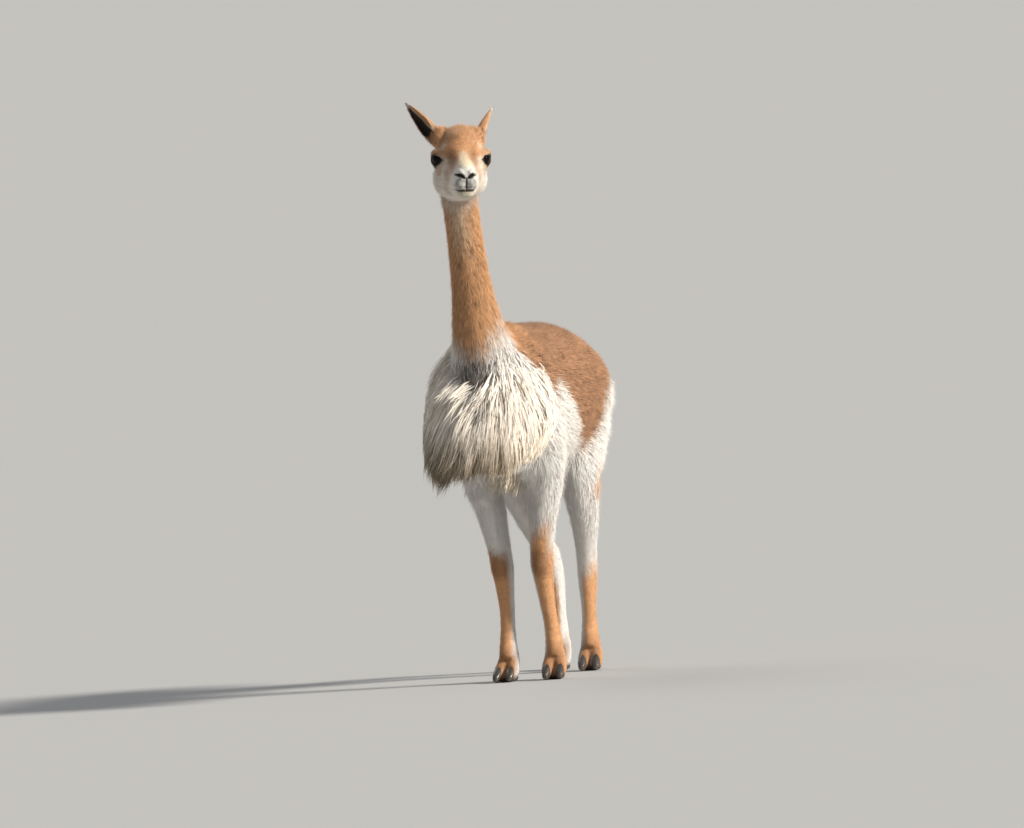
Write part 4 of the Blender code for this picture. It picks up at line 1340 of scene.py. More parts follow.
@dataclass(frozen=True)
class Unwrap:
    """The skin's own shape unrolled: each region round its own axis, in a strip of its own."""

    anatomy: Anatomy
    margin: float = 0.004
    limbs: tuple[Region, ...] = (Region.FORELEGS, Region.HINDLEGS, Region.FEET)
    head: tuple[Region, ...] = (Region.FACE, Region.HEAD, Region.EARS)

    def places(self, points: Array, regions: Array) -> Array:
        """Where points of the skin lie on the unwrap, each between 0 and 1."""
        own = self.anatomy.own(points)
        head = self.anatomy.in_head(points)
        x, y, z = own.T
        fore = y < self.anatomy.between_legs
        round_leg = round_share(x - np.where(x > 0, 0.062, -0.062), y - np.where(fore, -0.075, 0.255))
        neck_y = np.interp(z, (0.80, 1.12), (-0.28, -0.372))
        made = np.column_stack((round_share(x, z - 0.64), (y + 0.35) / 0.80))
        for wanted, u, v in (
            (self.limbs, (x > 0) * 0.5 + fore * 0.25 + 0.24 * round_leg, z / 0.52),
            ((Region.NECK,), round_share(x, y - neck_y), (z - 0.74) / 0.46),
            (self.head, round_share(head[:, 0], head[:, 2] + 0.02), (head[:, 1] + 0.15) / 0.32),
            ((Region.TAIL,), round_share(x, y - 0.437), (z - 0.49) / 0.24),
        ):
            made = np.where(among(regions, *wanted)[:, None], np.column_stack((u, v)), made)
        return np.clip(made, self.margin, 1 - self.margin)


@dataclass
class Tufts:
    """Many tufts of hair as arrays: one middle line, girth and run of colour each."""

    paths: Array  # tuft, step, xyz
    across: Array  # tuft, xyz
    facing: Array  # tuft, xyz
    widths: Array  # tuft, step without the tip
    thickness: Array  # tuft, step without the tip
    colours: Array  # tuft, step, rgb
    patches: Array  # tuft, uv
    patch_size: float = 0.003
    lowest: float = 0.0005
    softness: float = 0.52  # how far a tuft takes the light as the skin below it does
    two_sided: bool = False  # whether the backs of the tufts are lit from behind

    def built(self, name: str) -> Object:
        """The tufts as one object, each a closed three-sided blade that tapers to a point.

        Args:
            name: The object's name.

        Returns:
            The new object, without its finish.
        """
        count, rings = self.widths.shape
        each = rings * 3 + 1
        verts = np.empty((count, each, 3))
        for ring in range(rings):
            middle = self.paths[:, ring]
            side = self.across * (self.widths[:, ring] / 2)[:, None]
            out = self.facing * self.thickness[:, ring][:, None]
            verts[:, ring * 3] = middle + side - out * 0.4
            verts[:, ring * 3 + 1] = middle - side - out * 0.4
            verts[:, ring * 3 + 2] = middle + out * 0.6
        verts[:, -1] = self.paths[:, -1]
        verts[..., 2] = np.maximum(verts[..., 2], self.lowest)
        faces = [(0, 1, 2)]
        for ring in range(rings - 1):
            a, b = ring * 3, ring * 3 + 3
            for k in range(3):
                after = (k + 1) % 3
                faces += [(a + k, b + k, a + after), (a + after, b + k, b + after)]
        last = (rings - 1) * 3
        faces += [(last + k, rings * 3, last + (k + 1) % 3) for k in range(3)]
        pattern = np.array(faces)
        loops = (pattern[None] + (np.arange(count) * each)[:, None, None]).ravel()
        mesh = bpy.data.meshes.new(name)
        mesh.vertices.add(count * each)
        mesh.vertices.foreach_set("co", verts.astype(np.float32).ravel())
        mesh.loops.add(len(loops))
        mesh.loops.foreach_set("vertex_index", loops.astype(np.int32))
        mesh.polygons.add(len(loops) // 3)
        mesh.polygons.foreach_set("loop_start", np.arange(0, len(loops), 3, dtype=np.int32))
        mesh.update(calc_edges=True)
        self.lay_patches(mesh, pattern, rings)
        self.soften(mesh, pattern, rings)
        steps = np.concatenate((np.repeat(np.arange(rings), 3), (rings,)))
        paint(mesh, self.colours[:, steps].reshape(-1, 3))
        return linked(name, mesh)

    def soften(self, mesh: Mesh, pattern: Array, rings: int) -> None:
        """Turns the shading of each tuft towards the way that the skin faces, so that the coat looks soft."""
        sideways = self.across * (1 - self.softness)
        ring = np.stack((self.facing + sideways, self.facing - sideways, self.facing), axis=1)
        normals = unit(np.concatenate((np.tile(ring, (1, rings, 1)), self.facing[:, None]), axis=1))
        if not self.two_sided:
            mesh.normals_split_custom_set_from_vertices(normals.reshape(-1, 3))
            return
        kinds = np.where(pattern == rings * 3, -1, pattern % 3)
        behind = np.repeat(~(kinds == 2).any(axis=1), 3)
        corners = normals[:, pattern.ravel()]
        facing = self.facing[:, None]
        turned = corners - 2 * facing * np.sum(corners * facing, axis=2, keepdims=True)
        corners = np.where(behind[None, :, None], turned, corners)
        mesh.normals_split_custom_set(corners.reshape(-1, 3))

    def lay_patches(self, mesh: Mesh, pattern: Array, rings: int) -> None:
        """Gives each tuft a small patch on the skin's unwrap."""
        local = np.zeros((rings * 3 + 1, 2))
        for ring in range(rings):
            local[ring * 3 : ring * 3 + 3, 0] = (0.5, -0.5, 0.0)
            local[ring * 3 : ring * 3 + 3, 1] = ring / rings - 0.5
        local[-1] = (0.0, 0.5)
        corners = local[pattern.ravel()] * self.patch_size
        layout = self.patches[:, None, :] + corners[None]
        layer = mesh.uv_layers.new(name="OFBake")
        layer.uv.foreach_set("vector", layout.astype(np.float32).ravel())


@dataclass(frozen=True)
class Lie:
    """The way that the coat lies on the skin, and how long it is."""

    anatomy: Anatomy

    def ways(self, points: Array, normals: Array, regions: Array) -> Array:
        """The direction of the hair along the skin.

        Args:
            points: Points of the skin.
            normals: The way it faces there.
            regions: The number of the region of each.

        Returns:
            A direction along the skin for each point.
        """
        own = self.anatomy.own(points)
        head = self.anatomy.in_head(points)
        x, y, z = own.T
        zero, one = np.zeros(len(x)), np.ones(len(x))
        steep = 1 - np.abs(normals[:, 2])
        trunk = np.column_stack((zero, one, -0.12 - 0.75 * steep))
        rump = ease(0.20, 0.40, y)
        trunk = mixed(trunk, np.array((0, 0.30, -1.0)), rump)
        fan = unit(own - np.array((0.0, -0.215, 0.850))) + np.array((0, 0.0, -0.30))
        trunk = mixed(trunk, fan, 1 - ease(-0.235, -0.12, y))
        trunk = mixed(trunk, np.array((0, 0.5, -1.0)), ease(0.56, 0.48, z))
        neck = np.column_stack((zero, one * 0.36, -one))
        ways = mixed(trunk, neck, ease(-0.07, 0.03, self.anatomy.above_neck_cut(points)))
        turn = np.array(self.anatomy.head_matrix())[:3, :3]
        over_face = unit(head - np.array((0, -0.152, -0.036))) @ turn.T
        ways = mixed(ways, over_face, ease(-0.03, 0.02, self.anatomy.above_head_cut(points)))
        legs = np.column_stack((zero, 0.05 * one, -one))
        ways = mixed(ways, legs, ease(0.50, 0.44, z))
        feet = np.column_stack((zero, -0.6 * one, -one))
        ways = np.where(among(regions, Region.FEET)[:, None], feet, ways)
        tail = mixed(np.array((0, 1.0, -0.3)), np.array((0, 0, -1.0)), ease(0.70, 0.655, z))
        ways = np.where(among(regions, Region.TAIL)[:, None], tail, ways)
        for side, (root, tip, _) in zip((-1, 1), self.anatomy.ears()):
            axis = np.array((tip - root).normalized())
            from_root = head - np.array(root)
            along = from_root @ axis
            off = np.linalg.norm(from_root - along[:, None] * axis, axis=1)
            mine = (along > -0.012) & (np.sign(head[:, 0]) == side)
            share = ease(0.042, 0.024, off) * mine * ease(-0.012, 0.006, along)
            ways = mixed(ways, turn @ axis, np.where(among(regions, Region.EARS), mine * 1.0, share))
        return unit(ways - normals * np.einsum("ij,ij->i", ways, normals)[:, None])

    def lengths(self, points: Array, regions: Array, fawn: Array) -> Array:
        """How long the hair is.

        Args:
            points: Points of the skin.
            regions: The number of the region of each.
            fawn: How fawn the coat is there, as short hair is fawn and long hair white.

        Returns:
            A length for each point.
        """
        own = self.anatomy.own(points)
        head = self.anatomy.in_head(points)
        x, y, z = own.T
        trunk = 0.040 - 0.018 * fawn
        trunk = trunk + 0.006 * (1 - ease(-0.20, -0.06, y)) * (1 - fawn)
        belly = ease(0.56, 0.49, z) * ease(0.085, 0.060, np.abs(x))
        thigh = ease(0.60, 0.50, z) * ease(0.060, 0.085, np.abs(x)) * ease(0.10, 0.20, y)
        trunk = trunk + 0.008 * belly - 0.012 * thigh
        collar = ease(0.665, 0.700, z) * (1 - ease(-0.215, -0.13, y))
        trunk = trunk - 0.016 * collar * (1 - fawn)
        legs = np.interp(z, (0.0, 0.09, 0.25, 0.33, 0.40, 0.456), (0.006, 0.009, 0.012, 0.017, 0.025, 0.034))
        made = np.where(z < 0.456, legs, np.minimum(trunk, 0.034 + np.maximum(z - 0.456, 0) * 0.12))
        neck = np.interp(z, (0.80, 0.90, 1.10), (0.032, 0.024, 0.019))
        face_places = (-0.13, -0.09, -0.04, 0.0, 0.05, 0.10)
        face = np.interp(head[:, 1], face_places, (0.0028, 0.0048, 0.0075, 0.0100, 0.0140, 0.0180))
        crown = ease(0.022, 0.055, head[:, 2]) * ease(-0.045, 0.0, head[:, 1])
        ear_feet = ((-0.040, 0.040, 0.036), (0.040, 0.036, 0.036))
        ear_foot = np.maximum(*(near(head, place, 0.032) for place in ear_feet))
        jaw = ease(-0.055, -0.085, head[:, 2]) * ease(-0.06, 0.0, head[:, 1])
        face = face + 0.007 * crown + 0.009 * ear_foot + 0.005 * jaw
        face = face * (0.42 + 0.58 * ease(1.2, 1.9, self.anatomy.opening_share(points)))
        _, along = self.anatomy.on_ear(points)
        ear = np.interp(along, (0.1, 0.5, 1.0), (0.013, 0.009, 0.0055))
        special = ((Region.NECK, neck), (Region.HEAD, face), (Region.FACE, face), (Region.EARS, ear))
        for region, length in (*special, (Region.TAIL, 0.034)):
            made = np.where(among(regions, region), length, made)
        return made


@dataclass(frozen=True)
class Coat:
    """A coat of tufts over one part of the skin."""

    name: str
    regions: tuple[Region, ...]
    count: int
    width: float
    steps: int = 1
    side: int = 0  # 1 for the animal's left only, -1 for its right only
    clump: int = 9  # tufts in one clump
    pull: float = 0.42  # how far a clump's tips draw together
    lift: float = 1.0  # how much steeper than needed the hair stands
    flatness: float = 0.35
    speck: float = 0.05  # share of clumps that are dark
    # Roots darker than the tips stand for painted shade deep in the coat
    shade: float = 0.55  # how light the roots are beside the tips
    uneven: float = 0.16
    ruffle: float = 0.13  # how far the hairs stray from their way, as an angle
    bleed: float = 0.0045  # how far colours stray over the edges of the markings
    stray: float = 0.06  # share of the hairs that are longer and stand out
    seed: int = 1
    slot: str = "fawn_coat"

    def weights(self, hide: Hide, wanted: Array) -> Array:
        """How dense the coat is on each triangle of the skin."""
        weights = among(hide.regions, *self.regions).astype(float)
        if self.side:
            weights *= np.sign(hide.middles[:, 0]) == self.side
        return weights * wanted

    def grown(self, hide: Hide, lie: Lie, markings: Markings, unwrap: Unwrap, wanted: Array) -> Object:
        """Grows the coat.

        Args:
            hide: The skin.
            lie: The way the hair lies, and its length.
            markings: Its colours.
            unwrap: The unwrap of the skin.
            wanted: How dense the coat is on each triangle, beside even.

        Returns:
            The new object, without its finish.
        """
        draw = np.random.default_rng(self.seed)
        count = int(self.count * (1))
        roots, normals, regions = hide.scattered(self.weights(hide, wanted), count, draw)
        strayed = roots + draw.normal(scale=self.bleed, size=roots.shape)
        base = markings.colours(strayed, normals, regions)
        fawn = ease(0.75, 0.35, base[:, 2] / base[:, 0])
        lengths = lie.lengths(roots, regions, fawn) * draw.uniform(0.78, 1.18, count)
        ways = lie.ways(roots, normals, regions)
        sideways = np.cross(normals, ways)
        swing = 0.16 * waves(roots, 0.05, self.seed + 40) + draw.normal(scale=self.ruffle, size=count)
        ways = unit(ways * np.cos(swing)[:, None] + sideways * np.sin(swing)[:, None])
        sideways = np.cross(normals, ways)
        depth = hide.anatomy.coat_depth(roots) * draw.uniform(0.84, 1.12, count)
        mean = np.arcsin(np.clip(self.lift * depth / lengths, 0.17, 0.93))
        loose = draw.random(count) < self.stray
        lengths = np.where(loose, lengths * 1.15, lengths)
        mean = np.where(loose, mean + 0.22, mean)
        paths = np.empty((count, self.steps + 1, 3))
        paths[:, 0] = roots - normals * np.minimum(0.0010, 0.0001 + 0.35 * depth)[:, None]
        bend = draw.normal(scale=0.10, size=count)
        for step in range(self.steps):
            share = (step + 0.5) / self.steps
            angle = mean * (1.55 - 1.10 * share)
            way = ways * np.cos(angle)[:, None] + normals * np.sin(angle)[:, None]
            way = unit(way + sideways * (bend * share)[:, None])
            paths[:, step + 1] = paths[:, step] + way * (lengths / self.steps)[:, None]
        members = self.drawn_together(paths, draw)
        colours = self.shaded(base, members, roots, draw)
        thin = np.linspace(0.80, 0.62, self.steps) if self.steps > 1 else np.array((1.0,))
        thin = thin + 0.25 * np.sin(np.linspace(0, math.pi, self.steps))
        size = self.width * draw.uniform(0.75, 1.25, count) * (0.55 + 0.45 * lengths / lengths.mean())
        widths = size[:, None] * thin[None]
        patches = unwrap.places(roots, regions)
        tufts = Tufts(paths, sideways, normals, widths, widths * self.flatness, colours, patches)
        return tufts.built(self.name)

    def drawn_together(self, paths: Array, draw: Draw) -> Array:
        """Draws the tips of neighbouring tufts together.

        Args:
            paths: The tufts' middle lines, which are changed in place.
            draw: The random draw.

        Returns:
            The number of the clump that each tuft belongs to.
        """
        count = len(paths)
        leaders = draw.choice(count, max(count // self.clump, 1), replace=False)
        tree = KDTree(len(leaders))
        for number, leader in enumerate(leaders):
            tree.insert(paths[leader, 0], number)
        tree.balance()
        members = np.array([tree.find(root)[1] for root in paths[:, 0]])
        size = np.maximum(np.bincount(members, minlength=len(leaders)), 1)
        last = paths.shape[1] - 1
        for step in range(1, last + 1):
            totals = [np.bincount(members, paths[:, step, k], len(leaders)) for k in range(3)]
            middles = np.stack(totals, axis=1)
            share = self.pull * (step / last) ** 1.3
            paths[:, step] += ((middles / size[:, None])[members] - paths[:, step]) * share
        return members

    def shaded(self, base: Array, members: Array, roots: Array, draw: Draw) -> Array:
        """The run of colour along each tuft, uneven from clump to clump and darker at the root as painted
        shade deep in the coat.
        """
        clumps = members.max() + 1
        light = 1 + draw.normal(scale=self.uneven * 0.6, size=clumps)[members]
        light = light * (1 + draw.normal(scale=self.uneven * 0.5, size=len(base)))
        light = light * (1 + self.uneven * 0.4 * waves(roots, 0.013, self.seed))
        dark = (draw.random(clumps) < self.speck)[members] & (base[:, 2] < 0.45 * base[:, 0])
        light = np.where(dark, light * 0.45, light)
        light = np.clip(light, 0.25, 1.45)
        white = ease(0.50, 0.85, base[:, 2] / base[:, 0])
        light = 1 + (light - 1) * (1 - 0.55 * white)
        # Darker roots, less so in white hair: painted shade deep in the coat
        shade = (self.shade + max(0.92 - self.shade, 0) * white)[:, None]
        steps = np.linspace(0, 1, self.steps + 1)[None]
        along = shade + (1.05 - shade) * steps**0.8
        return base[:, None, :] * (light[:, None] * along)[..., None]


# The middle line of a clump, the way it faces and how low in the bib it grows, from 0 to 1
Clump = tuple[Array, Vector, float]


@dataclass(frozen=True)
class Bib:
    """One layer of the long white hair of the chest: clumps of fine strands that fan out from a whorl."""

    name: str
    seed: int
    first_row: float = 0.0  # share of the way down at which this layer starts
    rows: int = 17
    columns: int = 17
    strands: int = 32
    steps: int = 3
    top: float = 0.672
    whorl_rise: float = 0.045
    left_rise: float = 0.040
    right_rise: float = 0.135
    bottom: float = 0.545
    reach: float = math.radians(107)
    length: float = 0.150
    shortest: float = 0.035
    lowest_tip: float = 0.474
    corner_drop: float = 0.062
    stands_off: float = 0.013
    swell: float = 0.016
    spread: float = 0.017
    width: float = 0.0024
    whorl: Place = (0.062, -0.31, 0.735)
    widest: float = 0.144
    brisket_clumps: int = 0

    def lowest_at(self, swing: float) -> float:
        """How low the tips may hang: lower at the animal's right, higher at its left."""
        drop = self.corner_drop * max(0.0, -math.sin(swing)) ** 6
        return self.lowest_tip - drop + (0.060 * ease_degrees(16, 62, swing) + 0.008 * math.sin(swing * 11))

    def top_at(self, swing: float) -> float:
        """The height at which the long hair starts."""
        whorl = math.exp(-(((swing - math.radians(32)) / math.radians(20)) ** 2))
        rise = self.left_rise if swing > 0 else self.right_rise
        return self.top + self.whorl_rise * whorl + rise * abs(math.sin(swing)) ** 1.4

    def guides(self, hide: Hide, draw: Draw) -> list[Clump]:
        """The clumps, row by row from the top."""
        shift = hide.anatomy.shift()
        whorl = Vector(self.whorl) + shift
        made = []
        for row in range(self.rows):
            down = self.first_row + (1 - self.first_row) * row / (self.rows - 1)
            for column in range(self.columns):
                share = (column + 0.5 * (row % 2) + draw.uniform(-0.4, 0.4)) / self.columns * 2 - 1
                swing = share * self.reach
                height = self.top_at(swing) * (1 - down) + self.bottom * down + draw.uniform(-0.012, 0.012)
                outward = level_way(swing)
                hit = hide.surface.ray_cast(Vector((0, -0.190, height)) + shift, outward)[0]
                if hit is None:
                    continue
                room = height - self.lowest_at(swing)
                length = min(self.length * draw.uniform(0.70, 1.10), room + draw.uniform(-0.030, 0.014))
                length = max(length, self.shortest) * (0.42 + 0.58 * min(down * 3.5 + 0.1, 1))
                length *= 1 - 0.62 * ease_degrees(80, 107, abs(swing))
                away = hit - whorl
                away.y = 0
                fan = away.normalized() * (1.0 - 0.62 * down) * min(1.0, away.length / 0.05)
                drift = fan + Vector((draw.uniform(-0.26, 0.12), draw.uniform(-0.05, 0.03), 0))
                drift.z = min(drift.z, 0.35) * 0.5
                bulge = self.stands_off + self.swell * max(0.0, math.cos(swing)) ** 2
                hugging = ease_degrees(42, 82, abs(swing))
                clearance = (bulge * (0.75 + 0.15 * down) + 0.008) * (1 - 0.75 * hugging)
                path = self.path(hide, hit, outward, length, clearance, drift)
                made.append((path, outward, down))
        return made

    def path(
        self, hide: Hide, root: Vector, outward: Vector, length: float, clearance: float, drift: Vector
    ) -> Array:
        """A line that leaves the skin, lies along the coat below it and hangs free past its end.

        Args:
            hide: The skin.
            root: Where it grows.
            outward: The way out from the body there.
            length: How long it is.
            clearance: How far off the skin it lies.
            drift: How it strays from hanging straight down.

        Returns:
            Its corners.
        """
        step = length / self.steps
        points = [root - outward * 0.002]
        heading = (outward * 0.55 - UP * 0.9 + drift).normalized()
        for number in range(1, self.steps + 1):
            share = number / self.steps
            point = points[-1] + heading * step
            near_place, normal, _, _ = hide.surface.find_nearest(point)
            height = (point - near_place).dot(normal)
            wanted = clearance * (0.35 + share)
            if height < wanted:
                point += normal * (wanted - height)
            points.append(point)
            heading = (heading * 0.40 + (-UP + drift * (0.85 - 0.60 * share)) * 0.60).normalized()
        return np.array(points)

    def brisket(self, hide: Hide, draw: Draw) -> list[Clump]:
        """The hair that hangs between the forelegs."""
        shift = hide.anatomy.shift()
        made = []
        for _ in range(self.brisket_clumps):
            start = Vector((draw.uniform(-0.034, 0.038), draw.uniform(-0.185, -0.105), 0.60)) + shift
            hit = hide.surface.ray_cast(start, -UP)[0]
            if hit is None:
                continue
            length = draw.uniform(0.032, 0.055)
            drift = Vector((draw.uniform(-0.10, 0.05), draw.uniform(-0.2, 0.1), 0))
            heading = (-UP + drift * 0.5).normalized()
            points = [hit - heading * 0.004]
            for number in range(self.steps):
                way = (heading + drift * number * 0.08).normalized()
                points.append(points[-1] + way * length / self.steps)
            made.append((np.array(points), level_way(draw.uniform(-0.7, 0.9)), 0.6))
        return made

    def within(self, paths: Array, shift: Vector) -> Array:
        """The paths with the widest hairs drawn in to the coat's outline."""
        wide = np.abs(paths[..., 0] - shift.x)
        inner = np.interp(paths[..., 2] - shift.z, (0.46, 0.505, 0.59), (0.068, 0.096, self.widest))
        over = np.maximum(wide - np.where(paths[..., 0] > shift.x, inner, self.widest), 0)
        paths[..., 0] -= np.sign(paths[..., 0] - shift.x) * over * 0.9
        return paths

    def built(self, hide: Hide, markings: Markings, unwrap: Unwrap) -> Object:
        """The layer as one object.

        Args:
            hide: The skin.
            markings: The colours of the coat.
            unwrap: The unwrap of the skin.

        Returns:
            The new object, without its finish.
        """
        draw = np.random.default_rng(self.seed)
        clumps = self.guides(hide, draw) + self.brisket(hide, draw)
        strands = int(self.strands * (1))
        lines = np.repeat(np.array([path for path, _, _ in clumps]), strands, axis=0)
        outward = np.repeat(np.array([way for _, way, _ in clumps]), strands, axis=0)
        down = np.repeat(np.array([low for _, _, low in clumps]), strands)
        count = len(lines)
        offset = draw.normal(size=(count, 3)) * self.spread * 0.5
        offset -= outward * np.einsum("ij,ij->i", offset, outward)[:, None] * 0.55
        share = np.linspace(0, 1, self.steps + 1)
        gather = 1.0 - 0.50 * share**0.8
        paths = lines + offset[:, None, :] * gather[None, :, None]
        trim = draw.uniform(0.66, 1.03, count)
        paths = paths[:, :1] + (paths - paths[:, :1]) * (trim[:, None] * (1 - 0.25 * (1 - share)))[:, :, None]
        curl = draw.normal(scale=0.0045, size=(count, 3))
        hook = 0.021 * ease(0.35, 0.8, down) * draw.uniform(0.2, 1.3, count)
        curl[:, 0] -= hook
        curl[:, 2] += hook * 0.35
        paths += curl[:, None, :] * (share**3)[None, :, None]
        wave = draw.normal(scale=0.0016, size=(count, 1, 3)) * np.sin(share * 5.5)[None, :, None]
        paths = self.within(paths + wave, hide.anatomy.shift())
        roots, normals = hide.nearest(paths[:, 0])
        paths[:, 0] = roots - normals * 0.001
        regions = np.full(count, Region.CHEST.value)
        base = mixed(markings.colours(roots, normals, regions), tint(Tint.WHITE), np.full(count, 0.40))
        clump_light = np.repeat(1 + draw.normal(scale=0.065, size=len(clumps)), strands)
        light = clump_light * (1 + draw.normal(scale=0.10, size=count))
        # Strands that lie deeper in their clump are darker: painted shade between the strands
        buried = np.einsum("ij,ij->i", offset, outward) / self.spread
        light *= np.clip(1.0 + 0.40 * buried, 0.76, 1.08)
        swing = np.abs(np.arctan2(outward[:, 0], -outward[:, 1]))
        frontal = 1 - 0.75 * ease(math.radians(72), math.radians(98), swing)
        tips = np.clip(ease(0.20, 0.85, down) * 0.80 + draw.normal(scale=0.16, size=count), 0, 1) * frontal
        # Low in the bib, in front and not on the animal's left, the strands turn dun: partly the hair's own
        # brown staining, partly painted shade
        clump_stain_and_shade = np.repeat(draw.normal(0.70, 0.22, len(clumps)), strands)
        strand_stain_and_shade = np.clip(clump_stain_and_shade + draw.normal(scale=0.12, size=count), 0, 0.85)
        colours = np.empty((count, self.steps + 1, 3))
        for step, along in enumerate(share):
            tone = mixed(base, tint(Tint.WHITE) * (0.95, 0.91, 0.86), np.full(count, min(along * 2.5, 1.0)))
            tone = mixed(tone, tint(Tint.STRAW) * 0.92, tips * along * 0.95)
            # The tips of the lowest strands darken to dun: partly their own colour, partly painted shade
            tone = mixed(tone, tint(Tint.DUN), tips**2 * along**1.8 * 0.60)
            place = hide.anatomy.own(paths[:, step])
            low_stain_and_shade = ease(0.610, 0.520, place[:, 2]) * ease(0.085, 0.045, place[:, 0]) * strand_stain_and_shade
            low_stain_and_shade *= ease(-0.185, -0.225, roots[:, 1] - hide.anatomy.shift().y) * frontal
            tone = mixed(tone, tint(Tint.DUN) * 0.62, low_stain_and_shade)
            # Each strand is darker towards its root: painted shade under the long hair
            colours[:, step] = tone * (light * (0.88 + 0.16 * min(along * 2.2, 1)))[:, None]
        tangent = unit(paths[:, -1] - paths[:, 0])
        across = unit(np.cross(outward, tangent))
        facing = np.cross(tangent, across)
        profile = np.array((0.45, 1.0, 0.95))
        widths = (self.width * draw.uniform(0.6, 1.35, count))[:, None] * profile[None]
        patches = unwrap.places(roots, regions)
        tufts = Tufts(paths, across, facing, widths, widths * 0.40, colours, patches)
        return replace(tufts, softness=0.70, two_sided=True).built(self.name)


@dataclass(frozen=True)
class LidBand:
    """One ring of a lid: how far it is from the opening and the globe, and how much it follows the skin."""

    beyond: float  # in degrees round the eye's middle
    off_globe: float
    on_skin: float
    off_skin: float


